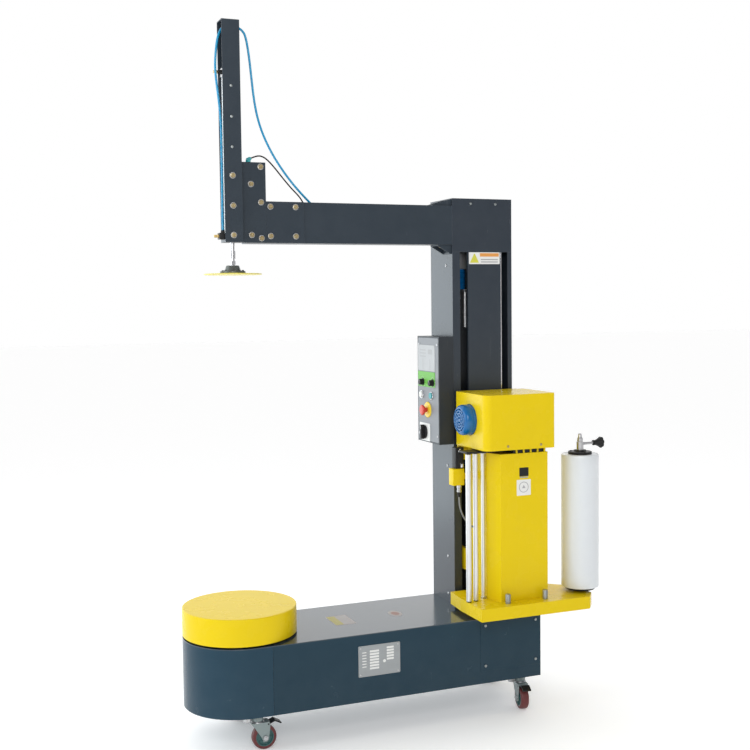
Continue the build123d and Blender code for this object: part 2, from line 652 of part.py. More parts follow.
lead_points = [
    (tx + 832, ty - 60, gland_z[0]), (tx + 832, ty - 60, gland_z[0] - 30),
    (tx + 841, ty - 60, gland_z[0] - 60), (tx + 855, ty - 60, gland_z[0] - 87),
    (tx + 874, ty - 60, gland_z[0] - 108), (cover_left + 10, ty - 60, lead_entry_z),
]
sensor_lead = tube_along(lead_points, lead_diameter, "sensor lead")
sensor_lead.part.label = "sensor_lead"
export_step(sensor_lead.part, "parts/sensor_lead.step")


def roller(x, y, radius, journal, z, shaft_top):
    """An upright roller with a journal at each end."""
    with BuildPart() as body:
        post(x, y, (tray_top - 4, shaft_top), journal)
        post(x, y, z, radius)
    return body


roller_z = (tray_top + part_gap, roller_bracket_z[0] - part_gap)
guide_roller_outer = roller(*outer_roller, 10, 4, roller_z, roller_bracket_z[1])
guide_roller_outer.part.label = "guide_roller_outer"
export_step(guide_roller_outer.part, "parts/guide_roller_outer.step")
guide_roller_inner = roller(*inner_roller, 9, 4, roller_z, roller_bracket_z[1])
guide_roller_inner.part.label = "guide_roller_inner"
export_step(guide_roller_inner.part, "parts/guide_roller_inner.step")

gear_z = (roller_bracket_z[1] + part_gap, roller_bracket_z[1] + 12)
gear_gap = 0.6
driven_gear_radius = 37
geared_gear_radius = stretch_geared[0] - stretch_driven[0] - driven_gear_radius - gear_gap
stretch_z = (tray_top + part_gap, cover_z[1] - 2 - part_gap)
stretch_rollers = []
for name, place, gear_radius in (
    ("stretch_roller_driven", stretch_driven, driven_gear_radius),
    ("stretch_roller_geared", stretch_geared, geared_gear_radius),
):
    stretch = roller(*place, 28, stretch_shaft, stretch_z, gear_z[1])
    with BuildPart() as geared:
        add(stretch.part)
        post(*place, gear_z, gear_radius)
    geared.part.label = name
    export_step(geared.part, f"parts/{name}.step")

# ---------------------------------------------------------------- film roll

film_x = tx + film_reach
film_y = ty - film_offset
flange_z = (tray_top + 8 + part_gap, tray_top + 18)
film_z = (flange_z[1], flange_z[1] + film_height)
with BuildPart() as film_roll:
    post(film_x, film_y, film_z, film_diameter / 2)
    fillet(film_roll.edges().filter_by(GeomType.CIRCLE), 2)
    post(film_x, film_y, film_z, core_bore / 2, Mode.SUBTRACT)
film_roll.part.label = "film_roll"
export_step(film_roll.part, "parts/film_roll.step")

stub_radius = 12
clamp_z = film_z[1] + 38
with BuildPart() as film_spindle:
    post(film_x, film_y, (tray_bottom + 12, flange_z[0]), 10)
    post(film_x, film_y, flange_z, 55)
    post(film_x, film_y, (flange_z[1], film_z[1] - 10), core_bore / 2 - 0.2)
    with Locations((film_x, film_y, film_z[1] - 10)):
        Cone(core_bore / 2 - 0.2, stub_radius + 8, 26, align=(Align.CENTER, Align.CENTER, Align.MIN))
    post(film_x, film_y, (film_z[1] + 16, film_z[1] + 76), stub_radius)
    bar_x((film_x - 2, film_x + stub_radius + 1), film_y, clamp_z, 5 + running_gap, Mode.SUBTRACT)
film_spindle.part.label = "film_spindle"
export_step(film_spindle.part, "parts/film_spindle.step")

knob_tip = tx + knob_reach
with BuildPart() as film_knob:
    bar_x((film_x, knob_tip - 40), film_y, clamp_z, 5)
    bar_x((knob_tip - 40, knob_tip - 30), film_y, clamp_z, 12)
    with BuildSketch(Plane.YZ.offset(knob_tip - 30)):
        with Locations((film_y, clamp_z)):
            Circle(22)
            with PolarLocations(25, 6):
                Circle(6, mode=Mode.SUBTRACT)
    extrude(amount=30)
film_knob.part.label = "film_knob"
export_step(film_knob.part, "parts/film_knob.step")

# ---------------------------------------------------------------- control box

box_depth = 60
box_x = (column_left - box_depth, column_left)
box_y = (column_front - 2, back)
box_z = (base_top + 617, base_top + 1022)
panel_x = box_x[0]
with BuildPart() as enclosure:
    block((panel_x + 2, box_x[1]), box_y, box_z)
    block((panel_x + 2, box_x[1] - 2), (box_y[0] + 2, box_y[1] - 2), (box_z[0] + 2, box_z[1] - 2), Mode.SUBTRACT)
controls = {
    "speed_knob_turntable": (150, 230, 9), "speed_knob_carriage": (62, 230, 9),
    "push_button_start": (160, 181, 8), "push_button_reset": (72, 181, 8),
    "emergency_stop": (108, 125, 8), "main_switch": (136, 38, 8),
}
with BuildPart() as face_plate:
    block((panel_x, panel_x + 2), box_y, box_z)
    for reach, rise, radius in controls.values():
        bar_x((panel_x, panel_x + 2), column_front - 10 + reach, box_z[0] + rise, radius + running_gap,
              Mode.SUBTRACT)
control_box = Compound(label="control_box", children=[enclosure.part, face_plate.part])
export_step(control_box, "parts/control_box.step")


def control(name, profile):
    """A control on the panel: a stem through the face plate, and rings that stand out from it."""
    reach, rise, stem_radius = controls[name]
    y = column_front - 10 + reach
    z = box_z[0] + rise
    with BuildPart() as body:
        bar_x((panel_x, panel_x + 12), y, z, stem_radius)
        stand = panel_x
        for thickness, radius in profile:
            bar_x((stand - thickness, stand), y, z, radius)
            stand -= thickness
    return body, y, z, stand


button_travel = 4
for name in ("speed_knob_turntable", "speed_knob_carriage"):
    knob, y, z, tip = control(name, ((part_gap, 9), (3, 14), (14, 11)))
    with BuildPart() as marked:
        add(knob.part)
        block((tip - 0.8, tip), (y - 1, y + 1), (z, z + 10))
    marked.part.label = name
    export_step(marked.part, f"parts/{name}.step")
for name in ("push_button_start", "push_button_reset"):
    button, y, z, tip = control(name, ((button_travel + part_gap, 8), (5, 12)))
    button.part.label = name
    export_step(button.part, f"parts/{name}.step")
emergency_stop, y, z, tip = control("emergency_stop", ((14, 8), (6, 14), (10, 20)))
emergency_stop.part.label = "emergency_stop"
export_step(emergency_stop.part, "parts/emergency_stop.step")
switch, y, z, tip = control("main_switch", ((part_gap, 8), (6, 30)))
with BuildPart() as main_switch:
    add(switch.part)
    block((tip - 14, tip), (y - 7, y + 7), (z - 29, z + 29))
main_switch.part.label = "main_switch"
export_step(main_switch.part, "parts/main_switch.step")

# ---------------------------------------------------------------- fasteners

bolt_head = 7
channel_bolts = [(tx - 2, channel_y[0], arm_bottom + rise) for rise in (24, 124, 226)]
gusset_bolts = [
    (tx + reach, column_front - plate_thickness, arm_bottom + rise)
    for reach, rise in ((71, 27), (106, 16), (106, 140), (71, 202), (106, 262))
]
clamp_bolts = [
    (gusset_right + reach, column_front - clamp_thickness, arm_bottom + rise)
    for reach in (16, 108) for rise in (24, 126)
]
with BuildPart() as zinc_bolts:
    for x, y, z in channel_bolts + gusset_bolts + clamp_bolts:
        with BuildSketch(Plane.XZ.offset(-y)):
            with Locations((x, z)):
                RegularPolygon(9.8, 6)
        extrude(amount=bolt_head)
        bar_y(x, (y - 2, y), z, 11)
    for x, y, z in clamp_bolts:
        bar_y(x, (arm_y[1] + clamp_thickness, arm_y[1] + clamp_thickness + 10), z, 9.5)
    for bolt_y in (bracket_y[0] + 18, bracket_y[1] - 18):
        post(column_left - 22, bolt_y, (arm_top + 4, arm_top + 10), 7)
        post(column_left - 22, bolt_y, (arm_bottom - 10, arm_bottom - 4), 7)
zinc_bolts.part.label = "zinc_bolts"
export_step(zinc_bolts.part, "parts/zinc_bolts.step")

with BuildPart() as panel_screws:
    for x in (column_left + 77, column_left + 181):
        bar_y(x, (column_front - screw_head, column_front), column_top - 19, small_screw_radius)
    for rise in (322, 424, 527):
        bar_y(tx - 2, (channel_y[0] - screw_head, channel_y[0]), arm_bottom + rise, small_screw_radius)
    for x in (access_x[0] + 20, access_x[1] - 20):
        for z in (access_z[0] + 20, access_z[1] - 20):
            bar_y(x, (front - 1.5 - screw_head, front - 1.5), z, small_screw_radius)
with BuildPart() as back_screws:
    for x in (column_left + 14, column_right - 14):
        for step in range(6):
            bar_y(x, (back, back + screw_head), base_top + 40 + step * 290, small_screw_radius)
    for step in range(5):
        bar_y(tx + 110 + step * 170, (back, back + screw_head), base_top - 20, small_screw_radius)
root_screws = Compound(label="panel_screws", children=[panel_screws.part, back_screws.part])
export_step(root_screws, "parts/panel_screws.step")

# ---------------------------------------------------------------- casters

boss_bottom = base_underside - 24
fork_plate_z = (boss_bottom - 10, boss_bottom - 6)
axle_radius = 5
cheek = 3
cheek_inner = wheel_width / 2 + 2
pivot_x = caster_trail + 12
pivot_z = fork_plate_z[0] - 3.5
swivel_radius = 20


def fork_shape(rigid):
    """A caster's pressed fork about its own swivel axis, trailing along +X."""
    with BuildPart() as fork:
        post(0, 0, (fork_plate_z[1], boss_bottom - part_gap), swivel_radius)
        with BuildSketch(Plane.XY.offset(fork_plate_z[0])):
            with Locations((8, 0)):
                RectangleRounded(64, 2 * (cheek_inner + cheek), 6)
        extrude(amount=fork_plate_z[1] - fork_plate_z[0])
        for side in (-1, 1):
            inner_y = side * cheek_inner
            with BuildSketch(Plane.XZ.offset(-inner_y)):
                with BuildLine():
                    Polyline((-22, fork_plate_z[0]), (40, fork_plate_z[0]), (40, pivot_z - 7),
                             (caster_trail + 12, wheel_diameter / 2 - 8), (caster_trail + 5, wheel_diameter / 2 - 14),
                             (caster_trail - 7, wheel_diameter / 2 - 14), (caster_trail - 12, wheel_diameter / 2),
                             close=True)
                make_face()
                if not rigid:
                    with Locations((pivot_x, pivot_z)):
                        Circle(3 + running_gap, mode=Mode.SUBTRACT)
            extrude(amount=-side * cheek)
        bar_y(caster_trail, (-cheek_inner - cheek, cheek_inner + cheek), wheel_diameter / 2, axle_radius)
        for side in (-1, 1):
            ends = sorted((side * (cheek_inner + cheek), side * (cheek_inner + cheek + 5)))
            bar_y(caster_trail, ends, wheel_diameter / 2, 8)
        if not rigid:
            post(0, 0, (fork_plate_z[0], boss_bottom - part_gap), 6 + running_gap, Mode.SUBTRACT)
    return fork.part


def wheel_solids():
    """A caster's hub and tread about the same axis."""
    hub_radius = wheel_diameter / 2 - 11
    with BuildPart() as hub:
        bar_y(caster_trail, (-wheel_width / 2, wheel_width / 2), wheel_diameter / 2, hub_radius)
        for side in (-1, 1):
            dish = sorted((side * (wheel_width / 2 - 5), side * wheel_width / 2))
            bar_y(caster_trail, dish, wheel_diameter / 2, hub_radius - 4, Mode.SUBTRACT)
            bar_y(caster_trail, dish, wheel_diameter / 2, 11)
        bar_y(caster_trail, (-wheel_width / 2, wheel_width / 2), wheel_diameter / 2, axle_radius + running_gap,
              Mode.SUBTRACT)
    with BuildPart() as tread:
        bar_y(caster_trail, (-wheel_width / 2, wheel_width / 2), wheel_diameter / 2, wheel_diameter / 2)
        fillet(tread.edges().filter_by(GeomType.CIRCLE), 4)
        bar_y(caster_trail, (-wheel_width / 2, wheel_width / 2), wheel_diameter / 2, hub_radius, Mode.SUBTRACT)
    return hub.part, tread.part


def pedal_shape():
    """A brake pedal hinged in the fork, over the wheel."""
    with BuildPart() as pedal:
        bar_y(pivot_x, (-cheek_inner - cheek, cheek_inner + cheek), pivot_z, 3)
        with BuildSketch(Plane.XZ.offset(-cheek_inner + 1)):
            with BuildLine():
                Polyline((pivot_x, pivot_z - 2.5), (pivot_x + 8, pivot_z - 1.5), (pivot_x + 24, pivot_z + 5),
                         (pivot_x + 46, pivot_z - 6), (pivot_x + 48, pivot_z - 2), (pivot_x + 25, pivot_z + 10),
                         (pivot_x + 7, pivot_z + 2.8), (pivot_x, pivot_z + 2.5), close=True)
            make_face()
        extrude(amount=2 * (cheek_inner - 1))
    return pedal.part


caster_y = 150
casters = {
    "front_left": (tx + 15, ty - caster_y, 0, False), "front_right": (tx + 1035, ty - caster_y, -100, False),
    "back_left": (tx + 15, ty + caster_y, 0, True), "back_right": (tx + 1035, ty + caster_y, 0, True),
}
mount_solids = []
for corner, (x, y, heading, rigid) in casters.items():
    place = Location((x, y, 0), (0, 0, heading))
    with BuildPart() as mount:
        post(x, y, (boss_bottom, base_underside), swivel_radius)
        if not rigid:
            post(x, y, (fork_plate_z[0] + 1, boss_bottom), 6)
        with BuildSketch(Plane.XY.offset(base_underside - 25)):
            with Locations((x - 35.5, y)):
                RegularPolygon(14.2, 6)
        extrude(amount=25)
    mount_solids.append(mount.part)
    fork = fork_shape(rigid).moved(place)
    if rigid:
        with BuildPart() as lug:
            post(x, y, (boss_bottom - part_gap, boss_bottom), swivel_radius)
        mount_solids.extend([fork, lug.part])
    else:
        fork.label = f"caster_fork_{corner}"
        export_step(fork, f"parts/caster_fork_{corner}.step")
        pedal = pedal_shape().moved(place)
        pedal.label = f"brake_pedal_{corner}"
        export_step(pedal, f"parts/brake_pedal_{corner}.step")
    hub, tread = wheel_solids()
    wheel = Compound(label=f"caster_wheel_{corner}", children=[hub.moved(place), tread.moved(place)])
    export_step(wheel, f"parts/caster_wheel_{corner}.step")
caster_mounts = Compound(label="caster_mounts", children=mount_solids)
export_step(caster_mounts, "parts/caster_mounts.step")
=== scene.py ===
import json
import math

import bmesh
import bpy
from mathutils import Matrix, Vector


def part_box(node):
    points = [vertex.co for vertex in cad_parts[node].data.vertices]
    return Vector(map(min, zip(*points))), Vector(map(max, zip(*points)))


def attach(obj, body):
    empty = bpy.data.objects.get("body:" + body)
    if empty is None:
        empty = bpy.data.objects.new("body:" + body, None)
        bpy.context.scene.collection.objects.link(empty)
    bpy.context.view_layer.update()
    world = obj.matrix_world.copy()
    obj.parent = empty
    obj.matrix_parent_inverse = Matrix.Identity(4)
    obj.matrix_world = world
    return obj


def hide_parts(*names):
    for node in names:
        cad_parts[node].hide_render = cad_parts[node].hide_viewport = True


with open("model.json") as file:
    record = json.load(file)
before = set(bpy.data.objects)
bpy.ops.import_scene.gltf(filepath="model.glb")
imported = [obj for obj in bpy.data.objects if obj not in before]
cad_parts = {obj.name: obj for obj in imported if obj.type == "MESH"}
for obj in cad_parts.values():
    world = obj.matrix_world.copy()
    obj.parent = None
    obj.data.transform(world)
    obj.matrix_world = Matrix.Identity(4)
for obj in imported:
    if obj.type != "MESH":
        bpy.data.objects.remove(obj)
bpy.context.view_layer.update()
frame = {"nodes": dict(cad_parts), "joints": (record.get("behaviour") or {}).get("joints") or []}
nodes = frame["nodes"]
joints = {joint["name"]: joint for joint in frame["joints"]}

# the turntable's axis and the heights that most pieces are placed from
turntableLow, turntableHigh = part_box("turntable_cap")
turnX = (turntableLow.x + turntableHigh.x) / 2
turnY = (turntableLow.y + turntableHigh.y) / 2
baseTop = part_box("base_top_cover")[1].z
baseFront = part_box("base_side_front")[0].y
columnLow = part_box("column_head")[0]
columnFront = columnLow.y
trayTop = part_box("carriage_cover")[0].z


# shader groups: colours, roughness and height that change over a surface

def shaderGroup(name, inputs, outputs):
    group = bpy.data.node_groups.new(name, "ShaderNodeTree")
    for label, kind, value in inputs:
        socket = group.interface.new_socket(name=label, in_out="INPUT", socket_type=kind)
        socket.default_value = value
    for label, kind in outputs:
        group.interface.new_socket(name=label, in_out="OUTPUT", socket_type=kind)
    return group, group.nodes.new("NodeGroupInput"), group.nodes.new("NodeGroupOutput")


def node(tree, kind, values=None, **settings):
    made = tree.nodes.new(kind)
    for key, value in settings.items():
        setattr(made, key, value)
    for key, value in (values or {}).items():
        made.inputs[key].default_value = value
    return made


def maths(tree, operation, a, b=None, clamp=False):
    made = node(tree, "ShaderNodeMath", operation=operation, use_clamp=clamp)
    for slot, value in enumerate((a, b)):
        if value is None:
            continue
        if isinstance(value, (int, float)):
            made.inputs[slot].default_value = value
        else:
            tree.links.new(value, made.inputs[slot])
    return made.outputs[0]


def putOut(group, outs, **values):
    for name, value in values.items():
        group.links.new(value, outs.inputs[name])


def mixColor(tree, factor, a, b):
    made = node(tree, "ShaderNodeMix", data_type="RGBA")
    for slot, value in ((0, factor), (6, a), (7, b)):
        if isinstance(value, (int, float, tuple)):
            made.inputs[slot].default_value = value
        else:
            tree.links.new(value, made.inputs[slot])
    return made.outputs[2]


def noise(tree, coordinates, scale, stretch=(1, 1, 1), detail=3.0, roughness=0.55):
    mapping = node(tree, "ShaderNodeMapping", {"Scale": stretch})
    texture = node(tree, "ShaderNodeTexNoise", {"Scale": scale, "Detail": detail, "Roughness": roughness})
    tree.links.new(coordinates, mapping.inputs["Vector"])
    tree.links.new(mapping.outputs[0], texture.inputs["Vector"])
    return texture.outputs["Fac"]


def buildRoundedEdge():  # a soft bright line along every sheet edge
    group, ins, outs = shaderGroup("roundedEdge", [("Radius", "NodeSocketFloat", 0.0015)],
                                   [("Normal", "NodeSocketVector"), ("Edge", "NodeSocketFloat")])
    bevel = node(group, "ShaderNodeBevel", samples=4)
    plain = node(group, "ShaderNodeNewGeometry")
    dot = node(group, "ShaderNodeVectorMath", operation="DOT_PRODUCT")
    group.links.new(ins.outputs["Radius"], bevel.inputs["Radius"])
    group.links.new(bevel.outputs[0], dot.inputs[0])
    group.links.new(plain.outputs["Normal"], dot.inputs[1])
    edge = maths(group, "MULTIPLY", maths(group, "SUBTRACT", 1.0, dot.outputs["Value"]), 3.0, clamp=True)
    putOut(group, outs, Normal=bevel.outputs[0], Edge=edge)
    return group


def buildPaintSkin():  # powder coat: uneven tone, peel, rub marks, worn edges, floor dust
    group, ins, outs = shaderGroup("paintSkin", [
        ("Paint", "NodeSocketColor", (0.5, 0.5, 0.5, 1)), ("Worn", "NodeSocketColor", (0.6, 0.6, 0.6, 1)),
        ("Dust", "NodeSocketColor", (0.42, 0.40, 0.37, 1)), ("Shine", "NodeSocketFloat", 0.3),
        ("Peel", "NodeSocketFloat", 0.5), ("Marks", "NodeSocketFloat", 0.3), ("Edge", "NodeSocketFloat", 0.0),
        ("Dusty", "NodeSocketFloat", 0.3)],
        [("Color", "NodeSocketColor"), ("Roughness", "NodeSocketFloat"), ("Height", "NodeSocketFloat")])
    place = node(group, "ShaderNodeTexCoord").outputs["Object"]
    tone = noise(group, place, 2.3)
    cloud = noise(group, place, 14.0, detail=5)
    peel = noise(group, place, 620.0, detail=1)
    rubbed = noise(group, place, 30.0, stretch=(1, 1, 0.12), detail=6, roughness=0.7)
    rubMask = maths(group, "MULTIPLY", maths(group, "GREATER_THAN", rubbed, 0.66), ins.outputs["Marks"])
    darker = mixColor(group, maths(group, "MULTIPLY", tone, 0.30), ins.outputs["Paint"], (0.0, 0.0, 0.0, 1))
    lighter = mixColor(group, maths(group, "MULTIPLY", cloud, 0.12), darker, ins.outputs["Worn"])
    plainPaint = mixColor(group, 0.62, lighter, ins.outputs["Paint"])
    rubbedPaint = mixColor(group, maths(group, "MULTIPLY", rubMask, 0.14), plainPaint, ins.outputs["Worn"])
    wornMask = maths(group, "MULTIPLY", ins.outputs["Edge"], maths(group, "ADD", cloud, 0.1))
    wornPaint = mixColor(group, maths(group, "MULTIPLY", wornMask, 0.55), rubbedPaint, ins.outputs["Worn"])
    height = node(group, "ShaderNodeSeparateXYZ")
    group.links.new(place, height.inputs[0])
    low = maths(group, "SUBTRACT", 1.0, maths(group, "DIVIDE", height.outputs["Z"], 0.34), clamp=True)
    dustMask = maths(group, "MULTIPLY", maths(group, "MULTIPLY", low, cloud), ins.outputs["Dusty"],
                     clamp=True)
    color = mixColor(group, dustMask, wornPaint, ins.outputs["Dust"])
    rough = maths(group, "ADD", ins.outputs["Shine"], maths(group, "MULTIPLY", cloud, 0.10))
    rough = maths(group, "ADD", rough, maths(group, "MULTIPLY", rubMask, 0.12))
    rough = maths(group, "ADD", rough, maths(group, "MULTIPLY", dustMask, 0.4), clamp=True)
    putOut(group, outs, Color=color, Roughness=rough,
           Height=maths(group, "MULTIPLY", peel, ins.outputs["Peel"]))
    return group


def buildMetalGrain():  # drawn or brushed metal, with a few dull spots
    group, ins, outs = shaderGroup("metalGrain", [
        ("Metal", "NodeSocketColor", (0.6, 0.6, 0.6, 1)), ("Dull", "NodeSocketColor", (0.3, 0.3, 0.3, 1)),
        ("Grain Stretch", "NodeSocketVector", (60, 60, 1)), ("Shine", "NodeSocketFloat", 0.25),
        ("Spots", "NodeSocketFloat", 0.3)],
        [("Color", "NodeSocketColor"), ("Roughness", "NodeSocketFloat"), ("Height", "NodeSocketFloat")])
    place = node(group, "ShaderNodeTexCoord").outputs["Object"]
    stretched = node(group, "ShaderNodeVectorMath", operation="MULTIPLY")
    group.links.new(place, stretched.inputs[0])
    group.links.new(ins.outputs["Grain Stretch"], stretched.inputs[1])
    lines = noise(group, stretched.outputs[0], 12.0, detail=4)
    spots = noise(group, place, 55.0, detail=5, roughness=0.65)
    spotMask = maths(group, "MULTIPLY", maths(group, "SUBTRACT", spots, 0.42, clamp=True),
                     ins.outputs["Spots"])
    lined = mixColor(group, maths(group, "MULTIPLY", lines, 0.35), ins.outputs["Metal"], ins.outputs["Dull"])
    color = mixColor(group, maths(group, "MULTIPLY", spotMask, 4.0, clamp=True), lined, ins.outputs["Dull"])
    rough = maths(group, "ADD", ins.outputs["Shine"], maths(group, "MULTIPLY", lines, 0.16))
    rough = maths(group, "ADD", rough, maths(group, "MULTIPLY", spotMask, 0.8), clamp=True)
    putOut(group, outs, Color=color, Roughness=rough, Height=lines)
    return group


def buildMouldedSkin():  # moulded plastic and rubber: fine texture, handling shine
    group, ins, outs = shaderGroup("mouldedSkin", [
        ("Plastic", "NodeSocketColor", (0.1, 0.1, 0.1, 1)), ("Bloom", "NodeSocketColor", (0.4, 0.4, 0.4, 1)),
        ("Shine", "NodeSocketFloat", 0.4), ("Texture", "NodeSocketFloat", 900.0),
        ("Bloom Amount", "NodeSocketFloat", 0.1)],
        [("Color", "NodeSocketColor"), ("Roughness", "NodeSocketFloat"), ("Height", "NodeSocketFloat")])
    place = node(group, "ShaderNodeTexCoord").outputs["Object"]
    fine = node(group, "ShaderNodeTexNoise", {"Detail": 2.0})
    group.links.new(place, fine.inputs["Vector"])
    group.links.new(ins.outputs["Texture"], fine.inputs["Scale"])
    cloud = noise(group, place, 38.0, detail=5)
    bloom = maths(group, "MULTIPLY", cloud, ins.outputs["Bloom Amount"], clamp=True)
    color = mixColor(group, bloom, ins.outputs["Plastic"], ins.outputs["Bloom"])
    rough = maths(group, "ADD", ins.outputs["Shine"], maths(group, "MULTIPLY", cloud, 0.15), clamp=True)
    putOut(group, outs, Color=color, Roughness=rough, Height=fine.outputs["Fac"])
    return group


roundedEdge = buildRoundedEdge()
paintSkin = buildPaintSkin()
metalGrain = buildMetalGrain()
mouldedSkin = buildMouldedSkin()


def finished(name, skin, values, bump=0.1, bumpSize=0.0002, edge=None, **shader):
    material = bpy.data.materials.new(name)
    material.use_nodes = True
    tree = material.node_tree
    surface = tree.nodes["Principled BSDF"]
    group = node(tree, "ShaderNodeGroup", node_tree=skin)
    for key, value in values.items():
        group.inputs[key].default_value = value
    tree.links.new(group.outputs["Color"], surface.inputs["Base Color"])
    tree.links.new(group.outputs["Roughness"], surface.inputs["Roughness"])
    relief = node(tree, "ShaderNodeBump", {"Strength": bump, "Distance": bumpSize})
    tree.links.new(group.outputs["Height"], relief.inputs["Height"])
    if edge:
        rounded = node(tree, "ShaderNodeGroup", node_tree=roundedEdge)
        rounded.inputs["Radius"].default_value = edge
        tree.links.new(rounded.outputs["Normal"], relief.inputs["Normal"])
        if "Edge" in group.inputs:
            tree.links.new(rounded.outputs["Edge"], group.inputs["Edge"])
    tree.links.new(relief.outputs[0], surface.inputs["Normal"])
    for key, value in shader.items():
        surface.inputs[key.replace("_", " ")].default_value = value
    return material


def paint(name, color, worn, shine=0.28, peel=0.5, marks=0.3, dusty=0.3, edge=0.0014, **shader):
    return finished(name, paintSkin, {"Paint": (*color, 1), "Worn": (*worn, 1), "Shine": shine, "Peel": peel,
                                      "Marks": marks, "Dusty": dusty}, bump=0.12, edge=edge, **shader)


def metal(name, color, dull, stretch, shine=0.25, spots=0.3, edge=0.0006):
    return finished(name, metalGrain, {"Metal": (*color, 1), "Dull": (*dull, 1), "Grain Stretch": stretch,
                                       "Shine": shine, "Spots": spots}, bump=0.08, edge=edge, Metallic=1.0)


def plastic(name, color, bloomColor, shine=0.4, texture=900.0, bloom=0.1, bump=0.15, edge=0.0006, **shader):
    return finished(name, mouldedSkin, {"Plastic": (*color, 1), "Bloom": (*bloomColor, 1), "Shine": shine,
                                        "Texture": texture, "Bloom Amount": bloom}, bump=bump, edge=edge,
                    **shader)


upright, alongX = (70, 70, 1.5), (1.5, 70, 70)
slate = paint("slatePaint", (0.008, 0.035, 0.058), (0.14, 0.24, 0.30), shine=0.20, marks=0.1, dusty=0.05,
              Specular_IOR_Level=0.22)
# a lighter, bluer copy of the slate paint for the nose: painted light standing in for the sheen on its curved
# face, not a different paint
noseSlatePaintedLight = paint("noseLitPaint", (0.009, 0.041, 0.070), (0.14, 0.24, 0.30), shine=0.20, marks=0.1, dusty=0.05,
                  Specular_IOR_Level=0.22)
glossSlate = paint("topPaint", (0.014, 0.034, 0.052), (0.30, 0.33, 0.36), shine=0.15, marks=0.2, dusty=0.0,
                   Coat_Weight=0.3, Coat_Roughness=0.07)
columnSlate = paint("columnPaint", (0.024, 0.034, 0.048), (0.26, 0.28, 0.31), shine=0.18, dusty=0.1,
                    Specular_IOR_Level=0.45)
armSlate = paint("armPaint", (0.026, 0.038, 0.052), (0.26, 0.28, 0.31), shine=0.30, dusty=0.0,
                 Specular_IOR_Level=0.3)
yellow = paint("yellowPaint", (0.82, 0.60, 0.001), (0.80, 0.64, 0.20), shine=0.22, marks=0.04, dusty=0.02,
               Specular_IOR_Level=0.14)
cream = paint("creamPaint", (0.82, 0.72, 0.14), (0.60, 0.56, 0.40), shine=0.28, marks=0.2, dusty=0.0)
panelGrey = paint("panelGrey", (0.25, 0.26, 0.28), (0.45, 0.45, 0.45), shine=0.42, dusty=0.0, edge=0.0008,
                  Specular_IOR_Level=0.3)
boxGrey = paint("boxGrey", (0.028, 0.034, 0.042), (0.3, 0.3, 0.3), shine=0.34, dusty=0.0,
                Specular_IOR_Level=0.25)
motorBlue = paint("motorBlue", (0.0, 0.12, 0.36), (0.05, 0.38, 0.62), shine=0.14, dusty=0.0, edge=0.0008,
                  Specular_IOR_Level=0.5)
gearGrey = paint("gearGrey", (0.30, 0.32, 0.34), (0.5, 0.5, 0.5), shine=0.36)
forkGrey = paint("forkGrey", (0.24, 0.30, 0.30), (0.65, 0.68, 0.68), shine=0.18, dusty=0.15, edge=0.0008)
bossGrey = metal("bossGrey", (0.20, 0.23, 0.22), (0.10, 0.07, 0.05), (25, 25, 25), shine=0.34, spots=0.7)
hubTeal = paint("hubTeal", (0.015, 0.10, 0.10), (0.2, 0.32, 0.32), shine=0.26, dusty=0.1, edge=0.0005)
steel = metal("brightSteel", (0.60, 0.60, 0.61), (0.34, 0.34, 0.35), upright)
plateSteel = metal("plateSteel", (0.40, 0.42, 0.43), (0.28, 0.29, 0.30), alongX, shine=0.42, spots=0.1)
chrome = metal("polishedRod", (0.80, 0.80, 0.82), (0.55, 0.55, 0.57), upright, shine=0.08, spots=0.1)
zinc = metal("yellowZinc", (0.58, 0.48, 0.27), (0.26, 0.18, 0.08), (25, 25, 25), shine=0.26, spots=0.6)
anodised = metal("anodisedRoller", (0.80, 0.81, 0.82), (0.60, 0.61, 0.62), upright, shine=0.34, spots=0.1)
brass = metal("brassFitting", (0.72, 0.53, 0.22), (0.40, 0.28, 0.12), (25, 25, 25), shine=0.28)
black = plastic("blackPlastic", (0.010, 0.010, 0.011), (0.05, 0.05, 0.05), shine=0.36,
                Specular_IOR_Level=0.28)
white = plastic("whitePlastic", (0.74, 0.74, 0.72), (0.5, 0.5, 0.48), shine=0.35, bloom=0.2)
silverInk = plastic("silverInk", (0.44, 0.45, 0.46), (0.34, 0.34, 0.35), shine=0.45, bloom=0.3)
screwSteel = metal("screwSteel", (0.44, 0.47, 0.47), (0.20, 0.21, 0.21), (25, 25, 25), shine=0.34)
labelWhite = plastic("labelWhite", (0.80, 0.80, 0.78), (0.60, 0.60, 0.58), shine=0.42, bloom=0.25, edge=None)
deckLabel = plastic("deckLabel", (0.38, 0.35, 0.34), (0.28, 0.25, 0.24), shine=0.42, bloom=0.4, edge=None)
deckYellow = plastic("deckYellow", (0.40, 0.36, 0.10), (0.30, 0.25, 0.12), shine=0.42, bloom=0.4, edge=None)
deckBrown = plastic("deckBrown", (0.30, 0.14, 0.11), (0.28, 0.25, 0.24), shine=0.42, bloom=0.4, edge=None)
labelYellow = plastic("labelYellow", (0.62, 0.60, 0.03), (0.6, 0.55, 0.3), shine=0.42, bloom=0.25, edge=None)
labelOrange = plastic("labelOrange", (0.75, 0.30, 0.04), (0.6, 0.4, 0.3), shine=0.42, bloom=0.25, edge=None)
labelGrey = plastic("labelGrey", (0.34, 0.34, 0.35), (0.5, 0.5, 0.5), shine=0.42, bloom=0.25, edge=None)
green = plastic("panelGreen", (0.10, 0.40, 0.02), (0.3, 0.5, 0.2), shine=0.38, bloom=0.1)
teal = plastic("tealPlastic", (0.02, 0.30, 0.33), (0.3, 0.5, 0.5), shine=0.3)
red = plastic("redPlastic", (0.60, 0.035, 0.012), (0.6, 0.3, 0.25), shine=0.26)
ringYellow = plastic("ringYellow", (0.85, 0.60, 0.01), (0.8, 0.7, 0.3), shine=0.3)
